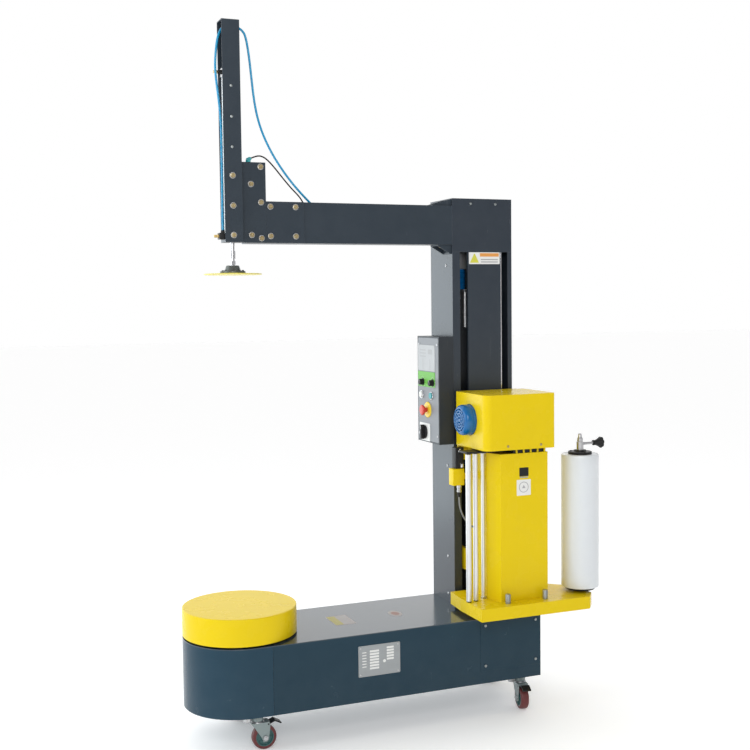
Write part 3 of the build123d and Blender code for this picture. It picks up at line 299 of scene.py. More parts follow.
hoseBlue = plastic("hoseBlue", (0.0, 0.26, 0.50), (0.02, 0.42, 0.62), shine=0.24, bloom=0.2, edge=None,
                   Subsurface_Weight=0.15, Coat_Weight=0.3)
cableBlack = plastic("cableBlack", (0.012, 0.009, 0.009), (0.05, 0.05, 0.05), shine=0.6, edge=None,
                     Specular_IOR_Level=0.2)
cableGrey = plastic("cableGrey", (0.22, 0.23, 0.24), (0.4, 0.4, 0.4), shine=0.4, edge=None)
roller = plastic("rollerRubber", (0.05, 0.05, 0.055), (0.2, 0.2, 0.2), shine=0.55, texture=400.0)
treadRed = plastic("treadRed", (0.13, 0.020, 0.022), (0.18, 0.12, 0.11), shine=0.36, texture=300.0,
                   bloom=0.25, bump=0.3, Specular_IOR_Level=0.35)
cardboard = plastic("cardboard", (0.42, 0.30, 0.18), (0.5, 0.4, 0.3), shine=0.75, texture=500.0, bloom=0.4)


def buildFilmMaterial():  # wound film: pale layers, faint bands up the roll, milky depth
    material = plastic("woundFilm", (0.73, 0.76, 0.785), (0.64, 0.67, 0.69), shine=0.26, texture=60.0,
                       bloom=0.3, edge=None, Subsurface_Weight=0.12, Coat_Weight=0.3, Coat_Roughness=0.16)
    tree = material.node_tree
    surface = tree.nodes["Principled BSDF"]
    surface.inputs["Subsurface Radius"].default_value = (0.02, 0.02, 0.022)
    place = node(tree, "ShaderNodeTexCoord").outputs["Object"]
    bands = noise(tree, place, 9.0, stretch=(0.4, 0.4, 14.0), detail=6, roughness=0.7)
    relief = node(tree, "ShaderNodeBump", {"Strength": 0.2, "Distance": 0.0004})
    tree.links.new(bands, relief.inputs["Height"])
    tree.links.new(surface.inputs["Normal"].links[0].from_socket, relief.inputs["Normal"])
    tree.links.new(relief.outputs[0], surface.inputs["Normal"])
    return material


film = buildFilmMaterial()
print("materials ready")


# mesh helpers

def placed(name, data):
    made = bpy.data.objects.new(name, data)
    bpy.context.scene.collection.objects.link(made)
    return made


def labelOf(corner):
    return "".join(word.capitalize() for word in corner.split("_"))


def piece(name, bm, material, body, angle=32, replaced=None):
    bmesh.ops.recalc_face_normals(bm, faces=bm.faces)
    mesh = bpy.data.meshes.new(name)
    bm.to_mesh(mesh)
    bm.free()
    mesh.shade_smooth()
    mesh.set_sharp_from_angle(angle=math.radians(angle))
    mesh.materials.append(material)
    made = placed(name, mesh)
    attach(made, body)
    if replaced:
        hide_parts(replaced)
    return made


def turned(bm, profile, place, steps=64):
    # a closed turned shape about Z; a profile that starts and ends off the axis closes on itself
    rings = []
    for radius, height in profile:
        if radius < 1e-7:
            rings.append([bm.verts.new(place @ Vector((0, 0, height)))])
        else:
            rings.append([bm.verts.new(place @ Vector((radius * math.cos(turn), radius * math.sin(turn),
                                                       height)))
                          for turn in (math.tau * k / steps for k in range(steps))])
    pairs = list(zip(rings, rings[1:]))
    if len(rings[0]) > 1 and len(rings[-1]) > 1:
        pairs.append((rings[-1], rings[0]))
    for a, b in pairs:
        for k in range(steps):
            j = (k + 1) % steps
            if len(a) == 1 and len(b) == 1:
                break
            elif len(a) == 1:
                bm.faces.new((a[0], b[k], b[j]))
            elif len(b) == 1:
                bm.faces.new((a[k], a[j], b[0]))
            else:
                bm.faces.new((a[k], a[j], b[j], b[k]))


def circle(radius, steps=6, x=0.0, y=0.0):
    return [(x + radius * math.cos(math.tau * k / steps), y + radius * math.sin(math.tau * k / steps))
            for k in range(steps)]


def loft(bm, rings, place):
    # joins rings of points one to the next and closes both ends
    loops = [[bm.verts.new(place @ Vector(point)) for point in ring] for ring in rings]
    for a, b in zip(loops, loops[1:]):
        for k in range(len(a)):
            j = (k + 1) % len(a)
            bm.faces.new((a[k], a[j], b[j], b[k]))
    bm.faces.new(loops[0][::-1])
    bm.faces.new(loops[-1])


def prism(bm, outline, low, high, place):
    # an outline in X and Y stood up between two heights
    loft(bm, [[(x, y, z) for x, y in outline] for z in (low, high)], place)


def turnedPiece(name, profile, place, steps, material, body, replaced=None):
    bm = bmesh.new()
    turned(bm, profile, place, steps)
    return piece(name, bm, material, body, replaced=replaced)


def roundedOutline(width, height, radius, steps=4):
    points = []
    for cornerX, cornerY, start in ((1, 1, 0), (-1, 1, 90), (-1, -1, 180), (1, -1, 270)):
        for k in range(steps + 1):
            turn = math.radians(start + 90 * k / steps)
            points.append((cornerX * (width / 2 - radius) + radius * math.cos(turn),
                           cornerY * (height / 2 - radius) + radius * math.sin(turn)))
    return points


def slab(bm, low, high, soft=0.0):
    # a block with its edges eased
    made = bmesh.ops.create_cube(bm, size=1.0)["verts"]
    for vert in made:
        vert.co = Vector([low[k] + (vert.co[k] + 0.5) * (high[k] - low[k]) for k in range(3)])
    if soft:
        edges = list({edge for vert in made for edge in vert.link_edges})
        bmesh.ops.bevel(bm, geom=edges, offset=soft, segments=3, profile=0.5, affect="EDGES")


def facing(origin, direction, spin=0.0):
    # a place whose Z looks along a direction
    turn = Vector((0, 0, 1)).rotation_difference(Vector(direction)).to_matrix().to_4x4()
    return Matrix.Translation(origin) @ turn @ Matrix.Rotation(spin, 4, "Z")


def panelPlace(y, z):
    # on the control panel's face: X along the panel, Y up, Z out of it
    return Matrix.Translation((panelX, y, z)) @ Matrix(((0, 0, -1, 0), (-1, 0, 0, 0), (0, 1, 0, 0),
                                                        (0, 0, 0, 1)))


def frontPlace(x, y, z):
    # on a face that looks forward: X to the right, Y up, Z out of it
    return Matrix.Translation((x, y, z)) @ Matrix(((1, 0, 0, 0), (0, 0, -1, 0), (0, 1, 0, 0), (0, 0, 0, 1)))


def axisOf(jointName):
    return Vector(joints[jointName]["pos_m"])


def middleOf(nodeName):
    low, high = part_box(nodeName)
    return (low + high) / 2


def hose(name, points, diameter, material, body):
    curve = bpy.data.curves.new(name, "CURVE")
    curve.dimensions = "3D"
    spline = curve.splines.new("NURBS")
    spline.points.add(len(points) - 1)
    for point, place in zip(spline.points, points):
        point.co = (*place, 1)
    spline.order_u = 3
    spline.use_endpoint_u = True
    curve.resolution_u = 10
    curve.bevel_depth = diameter / 2
    curve.bevel_resolution = 6
    curve.use_fill_caps = True
    curve.materials.append(material)
    made = placed(name, curve)
    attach(made, body)
    return made


def dress(material, *names):
    for name in names:
        for materialSlot in nodes[name].material_slots:
            materialSlot.material = material


# the nose wears the lighter copy of the slate paint, which paints in the light on it
dress(noseSlatePaintedLight, "base_nose")
dress(slate, "base_side_front", "base_side_back", "base_end_panel", "base_access_panel", "base_floor")
dress(glossSlate, "base_top_cover")
dress(columnSlate, "column_side_panels", "column_back_panel", "column_centre_strip", "column_head")
dress(armSlate, "arm_tube", "arm_brackets", "press_bracket", "press_channel")
dress(yellow, "turntable_cap", "carriage_frame", "carriage_cover", "motor_housing", "carriage_tray")
dress(steel, "turntable_stand", "turntable_hub")
dress(gearGrey, "turntable_gearmotor")
dress(chrome, "guide_rods", "press_rod")
dress(anodised, "press_cylinder")
dress(forkGrey, "caster_mounts", "caster_fork_front_left", "caster_fork_front_right")
dress(black, "brake_pedal_front_left", "brake_pedal_front_right")
dress(roller, "stretch_roller_driven", "stretch_roller_geared")
dress(boxGrey, "control_box")
print("finishes on CAD parts ready")


pressPad = {"rim": 0.0012, "boss": 0.028, "neck": 0.022, "ring": 0.052, "clamp": 0.043, "hole": 0.0082}


def buildPressPad(values):
    low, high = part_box("press_pad")
    radius, height = (high.x - low.x) / 2, high.z - low.z
    place = Matrix.Translation((turnX, turnY, low.z))
    rim, hole = values["rim"], values["hole"]
    turnedPiece("pressPadDisc", [(0.0, 0.0), (radius - rim, 0.0), (radius, rim), (radius, 0.004 - rim),
                                 (radius - rim, 0.004), (values["ring"] + 0.001, 0.0042),
                                 (values["ring"], 0.005), (values["ring"] - 0.001, 0.0062),
                                 (values["clamp"], 0.0064), (0.0, 0.0064)], place, 96, cream, "press",
                replaced="press_pad")
    bm = bmesh.new()
    clamp, neck = values["clamp"], values["neck"]
    turned(bm, [(0.0, 0.0060), (clamp, 0.0060), (clamp + 0.0008, 0.0070), (clamp + 0.0008, 0.0118),
                (clamp - 0.0006, 0.0130), (values["boss"] + 0.001, 0.0134), (values["boss"], 0.0144),
                (neck + 0.001, height - 0.003), (neck - 0.001, height), (hole + 0.001, height),
                (hole, height - 0.001), (hole, 0.0125), (0.0, 0.0122)], place, 72)
    for k in range(6):  # clamp screws
        turn = math.tau * (k + 0.5) / 6
        spot = place @ Matrix.Translation((0.0355 * math.cos(turn), 0.0355 * math.sin(turn), 0.0128))
        turned(bm, [(0.0, 0.0), (0.0040, 0.0), (0.0040, 0.0030), (0.0032, 0.0038), (0.0018, 0.0038),
                    (0.0016, 0.0022), (0.0, 0.0022)], spot, 18)
    piece("pressPadBoss", bm, bossGrey, "press", replaced="press_pad")


buildPressPad(pressPad)


def buildBolts(values):
    # each has a pressed washer and a chamfered hexagon head with a dished crown
    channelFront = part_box("press_channel")[0].y
    armBottom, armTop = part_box("arm_tube")[0].z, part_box("arm_tube")[1].z
    plateFront, clampFront = columnFront - 0.008, columnFront - 0.006
    clampLeft = turnX + 0.124
    places = [(turnX - 0.002, channelFront, armBottom + rise) for rise in (0.024, 0.124, 0.226)]
    places += [(turnX + x, plateFront, armBottom + z) for x, z in
               ((0.071, 0.027), (0.106, 0.016), (0.106, 0.140), (0.071, 0.202), (0.106, 0.262))]
    places += [(clampLeft + x, clampFront, armBottom + z) for x in (0.016, 0.108) for z in (0.024, 0.126)]
    heads, washers = bmesh.new(), bmesh.new()
    for k, (x, y, z) in enumerate(places):
        addBolt(heads, washers, facing((x, y, z), (0, -1, 0), 0.7 * k), values)
    for x, y, z in places[-4:]:
        back = facing((x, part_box("press_bracket")[1].y, z), (0, 1, 0), 0.4)
        addBolt(heads, washers, back, {**values, "head": 0.0085})
    lowBracket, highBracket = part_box("arm_brackets")
    small = {**values, "washer": 0.008, "head": 0.0068, "tall": 0.0052}
    for y in (lowBracket.y + 0.018, highBracket.y - 0.018):
        addBolt(heads, washers, facing((columnLow.x - 0.022, y, armTop + 0.004), (0, 0, 1)), small)
        addBolt(heads, washers, facing((columnLow.x - 0.022, y, armBottom - 0.004), (0, 0, -1)), small)
    piece("zincBolts", heads, zinc, "frame", replaced="zinc_bolts")
    piece("boltWashers", washers, steel, "frame", replaced="zinc_bolts")


def addBolt(bm, washers, place, values):
    head, tall, washer, thin = values["head"], values["tall"], values["washer"], values["washerThickness"]
    turned(washers, [(0.0, 0.0), (washer - 0.0004, 0.0), (washer, 0.0004), (washer, thin - 0.0004),
                     (washer - 0.0004, thin), (0.0, thin)], place, 28)
    shape = ((head, thin * 0.5), (head, tall - 0.0012), (head * 0.87, tall), (head * 0.5, tall),
             (head * 0.42, tall - 0.0012))
    loft(bm, [[(x, y, height) for x, y in circle(radius)] for radius, height in shape], place)


zincBolt = {"head": 0.0088, "tall": 0.0082, "washer": 0.011, "washerThickness": 0.0018}
buildBolts(zincBolt)


def buildScrews(values):
    # small pan-head screws with a round socket, at the places of the CAD ones
    bm = bmesh.new()
    for centre, normal in screwCentres(nodes["panel_screws"].data):
        r, h = values["radius"], values["height"]
        turned(bm, [(0.0, 0.0), (r, 0.0), (r, h * 0.35), (r * 0.86, h * 0.8), (r * 0.5, h), (r * 0.42, h),
                    (r * 0.40, h * 0.45), (0.0, h * 0.35)], facing(centre, normal), 20)
    piece("panelScrews", bm, screwSteel, "frame", replaced="panel_screws")


def screwCentres(mesh):
    # one centre and outward direction for each loose solid of a mesh
    bm = bmesh.new()
    bm.from_mesh(mesh)
    bmesh.ops.remove_doubles(bm, verts=bm.verts, dist=1e-6)
    found, seen = [], set()
    for start in bm.verts:
        if start in seen:
            continue
        stack, group = [start], []
        seen.add(start)
        while stack:
            vert = stack.pop()
            group.append(vert.co.copy())
            for edge in vert.link_edges:
                other = edge.other_vert(vert)
                if other not in seen:
                    seen.add(other)
                    stack.append(other)
        low = Vector([min(p[k] for p in group) for k in range(3)])
        high = Vector([max(p[k] for p in group) for k in range(3)])
        centre = (low + high) / 2
        forward = centre.y < (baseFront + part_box("base_side_back")[1].y) / 2 + 0.15
        found.append((Vector((centre.x, high.y if forward else low.y, centre.z)),
                      (0, -1 if forward else 1, 0)))
    bm.free()
    return found


panelScrew = {"radius": 0.0052, "height": 0.0027}
buildScrews(panelScrew)


# the press's air fittings and hoses
plumbing = {"hose": 0.008, "cable": 0.005, "lead": 0.006}
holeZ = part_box("press_channel")[1].z - 0.018
capLow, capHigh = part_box("press_cylinder")


def at(x, y, z):
    return (turnX + x, turnY + y, z)


def buildPlumbing(values):
    low = capLow.z
    held = hose("heldHose", [
        at(0.031, 0, holeZ), at(0.009, -0.002, holeZ + 0.009), at(-0.014, -0.006, holeZ + 0.001),
        at(-0.032, -0.010, holeZ - 0.019), at(-0.044, -0.014, holeZ - 0.054),
        at(-0.052, -0.014, holeZ - 0.130), at(-0.049, -0.014, holeZ - 0.184),
        at(-0.042, -0.014, holeZ - 0.240), at(-0.036, -0.014, holeZ - 0.304),
        at(-0.034, -0.014, holeZ - 0.394), at(-0.035, -0.014, holeZ - 0.504),
        at(-0.036, -0.014, holeZ - 0.604), at(-0.036, -0.014, low + 0.030)], values["hose"], hoseBlue,
                "frame")
    bm = bmesh.new()
    slab(bm, at(-0.049, -0.022, low), at(-0.025, 0.010, low + 0.022), 0.0015)
    turned(bm, [(0.0, 0.0), (0.0075, 0.0), (0.0075, 0.006), (0.0066, 0.008), (0.0066, 0.010), (0.0, 0.010)],
           facing(at(-0.036, -0.014, low + 0.021), (0, 0, 1)), 28)
    piece("lowerValveBody", bm, black, "frame", replaced="press_plumbing")
    turnedPiece("lowerValveTip", [(0.0, 0.0), (0.0062, 0.0), (0.0062, 0.004), (0.0048, 0.005),
                                  (0.0048, 0.012), (0.0042, 0.0165), (0.0, 0.0168)],
                facing(at(-0.0488, -0.006, low + 0.011), (-1, 0, 0)), 6, brass, "frame",
                replaced="press_plumbing")
    upperZ = capHigh.z - 0.014
    turnedPiece("upperValveBody", [(0.0, 0.0), (0.0080, 0.0), (0.0080, 0.005), (0.0068, 0.006),
                                   (0.0068, 0.014), (0.0, 0.015)], facing(at(-0.025, 0, upperZ), (-1, 0, 0)),
                32, black, "frame", replaced="press_plumbing")
    turnedPiece("upperValveKnob", [(0.0, 0.0), (0.0050, 0.0), (0.0056, 0.002), (0.0056, 0.012),
                                   (0.0044, 0.0145), (0.0, 0.0148)],
                facing(at(-0.0395, 0, upperZ), (-1, 0, 0)), 12, brass, "frame",
                replaced="press_plumbing")
    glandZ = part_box("press_bracket")[1].z - 0.010
    bm = bmesh.new()
    centre = at(0.064, columnFront - 0.004 - turnY, glandZ)
    prism(bm, circle(0.009), 0.0, 0.008, Matrix.Translation(centre))
    lean = Vector((math.sin(math.radians(65)), 0, math.cos(math.radians(65))))
    turned(bm, [(0.0, -0.006), (0.0065, -0.006), (0.0068, 0.002), (0.0068, 0.006), (0.0052, 0.010),
                (0.0034, 0.0118), (0.0, 0.012)], facing(Vector(centre) + Vector((0, 0, 0.009)), lean), 24)
    piece("cableGland", bm, teal, "frame", replaced="press_plumbing")
    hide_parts("press_plumbing")
    return Vector(centre) + Vector((0, 0, 0.009)) + 0.012 * lean, lean


cableStart, glandLean = buildPlumbing(plumbing)
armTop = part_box("arm_tube")[1].z

airHose = hose("airHose", [
    at(0.031, 0, holeZ), at(0.053, 0.002, holeZ - 0.009), at(0.064, 0.002, holeZ - 0.038),
    at(0.073, 0.003, holeZ - 0.096), at(0.081, 0.005, holeZ - 0.172), at(0.089, 0.008, holeZ - 0.242),
    at(0.102, 0.012, holeZ - 0.304), at(0.122, 0.016, holeZ - 0.359), at(0.152, 0.021, holeZ - 0.416),
    at(0.190, 0.027, holeZ - 0.471), at(0.231, 0.033, holeZ - 0.520), at(0.271, 0.039, holeZ - 0.560),
    at(0.314, 0.044, armTop - 0.012)], plumbing["hose"], hoseBlue, "frame")
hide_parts("air_hose")

cableY, cableZ = cableStart.y, cableStart.z
sensorCable = hose("sensorCable", [
    tuple(cableStart), tuple(cableStart + 0.024 * glandLean), (turnX + 0.121, cableY + 0.003, cableZ + 0.006),
    (turnX + 0.143, cableY + 0.008, cableZ - 0.010), (turnX + 0.166, cableY + 0.013, cableZ - 0.033),
    (turnX + 0.196, cableY + 0.019, cableZ - 0.066), (turnX + 0.226, cableY + 0.025, cableZ - 0.097),
    (turnX + 0.249, cableY + 0.029, cableZ - 0.117), (turnX + 0.267, cableY + 0.033, cableZ - 0.136),
    (turnX + 0.278, turnY + 0.038, armTop - 0.012)], plumbing["cable"], cableBlack, "frame")
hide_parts("sensor_cable")
print("press ready")


filmMotor = {"radius": 0.052, "cowlRadius": 0.056, "cowl": 0.046, "vents": 8, "swirl": 1.1,
             "behindRoll": 0.068, "rise": 0.064}
motorY = axisOf("film_spin").y + filmMotor["behindRoll"]
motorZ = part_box("film_motor")[0].z + filmMotor["rise"]


def buildFilmMotor(values):
    low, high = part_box("film_motor")
    axle = Vector((low.x, motorY, motorZ))
    r, cowl = values["radius"], values["cowl"]
    place = facing((low.x + cowl, axle.y, axle.z), (-1, 0, 0))
    bm = bmesh.new()
    wide = values["cowlRadius"]
    profile = [(0.0, -0.002), (wide - 0.002, -0.002), (wide, 0.0), (wide, 0.010), (wide - 0.002, 0.0115),
               (wide - 0.002, 0.0135), (wide, 0.015), (wide, cowl - 0.014), (wide - 0.002, cowl - 0.007),
               (wide - 0.008, cowl - 0.0015), (wide - 0.012, cowl)]
    for k in range(4):  # ringed end face
        edge = wide - 0.0135 - 0.0100 * k
        profile += [(edge, cowl), (edge - 0.0008, cowl - 0.005), (edge - 0.0055, cowl - 0.005),
                    (edge - 0.0063, cowl)]
    profile += [(0.004, cowl), (0.0, cowl)]
    turned(bm, profile, place, 72)
    for k in range(values["vents"]):  # swirled blades over the rings
        outline, turn = [], math.tau * k / values["vents"]
        for side in (1, -1):
            steps = range(7) if side == 1 else range(6, -1, -1)
            for step in steps:
                reach = 0.012 + 0.029 * step / 6
                bend = turn + values["swirl"] * step / 6 + side * 0.0017 / reach
                outline.append((reach * math.cos(bend), reach * math.sin(bend)))
        prism(bm, outline, cowl - 0.0055, cowl - 0.0006, place)
    piece("filmMotorCowl", bm, motorBlue, "carriage", replaced="film_motor")
    bm = bmesh.new()
    barrel = [(0.0, 0.0)]
    for k in range(9):  # cooling ribs inside the housing
        z = 0.006 + 0.014 * k
        barrel += [(r - 0.004, z), (r, z + 0.001), (r, z + 0.004), (r - 0.004, z + 0.005)]
    barrel += [(r - 0.004, 0.130), (0.0, 0.130)]
    turned(bm, barrel, facing((low.x + cowl, axle.y, axle.z), (1, 0, 0)), 64)
    piece("filmMotorBody", bm, motorBlue, "carriage", replaced="film_motor")
    bm = bmesh.new()
    slab(bm, (high.x - 0.072, axle.y - 0.045, low.z), (high.x, axle.y + 0.045, high.z - 0.007), 0.004)
    slab(bm, (high.x - 0.069, axle.y + 0.044, axle.z - 0.03), (high.x - 0.002, high.y, axle.z + 0.03), 0.002)
    piece("filmMotorGearbox", bm, gearGrey, "carriage", replaced="film_motor")


buildFilmMotor(filmMotor)

housingShape = {"corner": 0.026, "rightCorner": 0.010, "wall": 0.002, "hole": 0.0575}


def holedPlate(bm, left, right, low, high, centre, radius, depth, place, steps=64):
    # a plate with one round hole, its outline in X and Y, as thick as depth
    outer = []
    for k in range(steps):
        turn = math.tau * k / steps
        dx, dy = math.cos(turn), math.sin(turn)
        reach = min(((right if dx > 0 else left) - centre[0]) / dx if abs(dx) > 1e-6 else 9.0,
                    ((high if dy > 0 else low) - centre[1]) / dy if abs(dy) > 1e-6 else 9.0)
        outer.append([centre[0] + reach * dx, centre[1] + reach * dy])
    for corner in ((left, low), (right, low), (right, high), (left, high)):
        nearest = min(range(steps), key=lambda k: math.dist(outer[k], corner))
        outer[nearest] = list(corner)
    inner = circle(radius, steps, *centre)
    loops = [[bm.verts.new(place @ Vector((x, y, z))) for x, y in points]
             for points, z in ((outer, 0.0), (outer, depth), (inner, depth), (inner, 0.0))]
    for a, b in zip(loops, loops[1:] + loops[:1]):
        for k in range(steps):
            bm.faces.new((a[k], a[(k + 1) % steps], b[(k + 1) % steps], b[k]))


def arc(x, y, radius, start, end, steps=8):
    turns = [math.radians(start + (end - start) * k / steps) for k in range(steps + 1)]
    return [(x + radius * math.cos(turn), y + radius * math.sin(turn)) for turn in turns]


def buildHousing(values):
    low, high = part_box("motor_housing")
    x0, x1, y0, y1 = low.x, high.x, low.y + 0.0025, high.y
    r, r2, wall = values["corner"], values["rightCorner"], values["wall"]
    around = arc(x0 + r, y0 + r, r, 180, 270) + arc(x1 - r2, y0 + r2, r2, 270, 360)
    inside = arc(x0 + r, y0 + r, r - wall, 180, 270) + arc(x1 - r2, y0 + r2, r2 - wall, 270, 360)
    bm = bmesh.new()
    back = [(x1, y1), (x0, y1), (x0, y1 - wall), (x1 - wall, y1 - wall)]
    prism(bm, around + back + inside[::-1], low.z, high.z - wall, Matrix.Identity(4))
    prism(bm, around + [(x1, y1), (x0, y1)], high.z - wall, high.z, Matrix.Identity(4))
    side = Matrix.Translation((x0, 0, 0)) @ Matrix(((0, 0, 1, 0), (1, 0, 0, 0), (0, 1, 0, 0), (0, 0, 0, 1)))
    holedPlate(bm, y0 + r, y1 - wall, low.z, high.z - wall, (motorY, motorZ), values["hole"], wall, side)
    piece("motorHousingShell", bm, yellow, "carriage", replaced="motor_housing")
    bm = bmesh.new()
    for x in (x0 + 0.090, x1 - 0.060):
        turned(bm, [(0.0, -0.001), (0.0048, -0.001), (0.0048, 0.0010), (0.0040, 0.0021), (0.0022, 0.0024),
                    (0.0020, 0.0012), (0.0, 0.0011)], facing((x, y0, low.z + 0.014), (0, -1, 0)), 20)
    piece("motorHousingScrews", bm, zinc, "carriage", replaced="motor_housing")


buildHousing(housingShape)

guideRoller = {"cap": 0.003, "chamfer": 0.0008}


def buildGuideRoller(nodeName, pieceName, values):
    low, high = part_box(nodeName)
    axle = axisOf(nodeName + "_spin")
    radius = (high.x - low.x) / 2
    bottom, top = trayTop + 0.0003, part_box("carriage_cover")[1].z + 0.0047
    cap, chamfer = values["cap"], values["chamfer"]
    place = Matrix.Translation((axle.x, axle.y, 0))
    turnedPiece(pieceName + "Tube", [(0.0041, bottom + cap), (radius - chamfer, bottom + cap),
                                     (radius, bottom + cap + chamfer), (radius, top - cap - chamfer),
                                     (radius - chamfer, top - cap), (0.0041, top - cap)], place, 48, anodised,
                nodeName, replaced=nodeName)
    bm = bmesh.new()
    for a, b in ((bottom, bottom + cap), (top - cap, top)):
        turned(bm, [(0.0038, a), (radius - 0.0016, a), (radius - 0.0008, a + 0.0008),
                    (radius - 0.0008, b - 0.0008), (radius - 0.0016, b), (0.0038, b)], place, 40)
    piece(pieceName + "Caps", bm, black, nodeName, replaced=nodeName)
    turnedPiece(pieceName + "Shaft", [(0.0, low.z), (0.0035, low.z), (0.004, low.z + 0.0005),
                                      (0.004, high.z - 0.0008), (0.0032, high.z), (0.0, high.z)], place, 24,
                steel, nodeName, replaced=nodeName)


buildGuideRoller("guide_roller_outer", "guideRollerOuter", guideRoller)
buildGuideRoller("guide_roller_inner", "guideRollerInner", guideRoller)

tieRod = {"radius": 0.0070, "nut": 0.011, "x": 0.884, "y": -0.150, "pegs": (0.932, 1.086), "pegY": -0.250}


def buildTieRod(values):  # bright sleeve, nuts and peg caps over the frame's fixed rod and the tray's pegs
    low, high = trayTop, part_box("carriage_cover")[1].z + 0.005
    place = Matrix.Translation((turnX + values["x"], turnY + values["y"], 0))
    bm, r = bmesh.new(), values["radius"]
    turned(bm, [(0.0062, low), (r, low), (r, high - 0.0002), (0.0062, high - 0.0002)], place, 40)
    piece("tieRodSleeve", bm, anodised, "carriage")
    bm = bmesh.new()
    for x in values["pegs"]:
        turned(bm, [(0.0086, 0.0), (0.0094, 0.0), (0.0094, 0.0325), (0.0084, 0.0345), (0.0, 0.0345),
                    (0.0, 0.034), (0.0086, 0.034)],
               Matrix.Translation((turnX + x, turnY + values["pegY"], trayTop + 0.0002)), 32)
    piece("pegCaps", bm, screwSteel, "carriage")
    bm = bmesh.new()
    for z in (low + 0.0002, high - 0.0075):
        prism(bm, circle(values["nut"]), z, z + 0.007, place)
    piece("tieRodNuts", bm, steel, "carriage")
    bm = bmesh.new()  # dark wrap over the plate that carries the rollers' tops
    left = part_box("guide_roller_outer")[0].x - 0.0045
    slab(bm, (left, turnY - 0.1945, high + 0.00005), (turnX + 1.1055, turnY - 0.1295, high + 0.0068), 0.0001)
    piece("rollerTopPlate", bm, black, "carriage")


buildTieRod(tieRod)

ventStrip = {"tabs": 5, "tab": 0.007, "setBack": 0.004}


def buildVentStrip(values):  # black block in the gap between the cover and the motor housing, painted shade for the dark gap, bridged by small tabs
    low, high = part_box("carriage_cover")
    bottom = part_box("motor_housing")[0].z
    bm = bmesh.new()
    # a black block set back in the gap: painted shade where the inside of the gap falls dark
    slab(bm, (low.x + 0.075, low.y + values["setBack"], high.z + 0.0002),
         (high.x - 0.006, low.y + 0.06, bottom - 0.0002), 0.001)
    piece("ventGapPaintedShade", bm, black, "carriage")
    bm = bmesh.new()
    for k in range(values["tabs"]):
        x = low.x + 0.085 + (high.x - low.x - 0.10) * k / (values["tabs"] - 1)
        slab(bm, (x, low.y + 0.0006, high.z + 0.0002), (x + values["tab"], low.y + values["setBack"] + 0.0002,
                                                        bottom - 0.0002), 0.0006)
    piece("ventTabs", bm, yellow, "carriage")


buildVentStrip(ventStrip)

photocell = {"lens": 0.008, "soft": 0.002, "left": 0.811, "y": -0.060, "bracketLow": 0.413,
             "bracketHigh": 0.475}


def buildPhotocell(values):
    low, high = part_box("photocell")
    left, y = turnX + values["left"], turnY + values["y"]
    bracketLow, bracketHigh = trayTop + values["bracketLow"], trayTop + values["bracketHigh"]
    bm = bmesh.new()
    slab(bm, (left, y - 0.016, bracketHigh), (left + 0.0335, y + 0.016, high.z), values["soft"])
    slab(bm, (left + 0.010, y - 0.019, bracketHigh + 0.020), (left + 0.028, y - 0.0155, bracketHigh + 0.062),
         0.001)
    piece("photocellBody", bm, black, "carriage", replaced="photocell")
    bm = bmesh.new()
    turned(bm, [(0.0, 0.0), (values["lens"], 0.0), (values["lens"], 0.002), (values["lens"] * 0.75, 0.0026),
                (0.0, 0.0034)], facing((left + 0.0185, y - 0.0155, high.z - 0.014), (0, -1, 0)), 32)
    slab(bm, (left + 0.0195, y - 0.0178, bracketHigh + 0.004),
         (left + 0.031, y - 0.0150, bracketHigh + 0.018), 0.001)
    piece("photocellLens", bm, chrome, "carriage", replaced="photocell")
    bm = bmesh.new()
    slab(bm, (left - 0.012, y - 0.019, bracketLow), (left + 0.0335, y + 0.019, bracketHigh), 0.0015)
    slab(bm, (left + 0.033, y - 0.010, bracketLow + 0.020), (high.x, y + 0.010, bracketHigh - 0.020), 0.0008)
    piece("photocellBracket", bm, yellow, "carriage", replaced="photocell")
    bm = bmesh.new()
    x = left + 0.021
    turned(bm, [(0.0, bracketLow), (0.0088, bracketLow), (0.009, bracketLow - 0.012),
                (0.0078, bracketLow - 0.0135), (0.0078, bracketLow - 0.020), (0.0088, bracketLow - 0.0215),
                (0.0088, bracketLow - 0.027), (0.0066, bracketLow - 0.029), (0.0, bracketLow - 0.029)][::-1],
           Matrix.Translation((x, y, 0)), 12)
    piece("photocellGland", bm, steel, "carriage", replaced="photocell")
    turnedPiece("photocellBoot", [(0.0, low.z), (0.0045, low.z), (0.0062, low.z + 0.003),
                                  (0.0066, low.z + 0.017), (0.0, low.z + 0.0172)],
                Matrix.Translation((x, y, 0)), 24, black, "carriage", replaced="photocell")
    return Vector((x, y, low.z))


leadStart = buildPhotocell(photocell)
leadPoints = [tuple(leadStart + Vector((x, 0, -z))) for x, z in (
    (0.0, 0.0), (0.0, 0.030), (0.009, 0.060), (0.023, 0.087), (0.042, 0.108), (0.074, 0.130))]
sensorLead = hose("sensorLead", leadPoints, plumbing["lead"], cableGrey, "carriage")
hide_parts("sensor_lead")

filmRoll = {"core": 0.038, "coreWall": 0.005, "layers": 7}


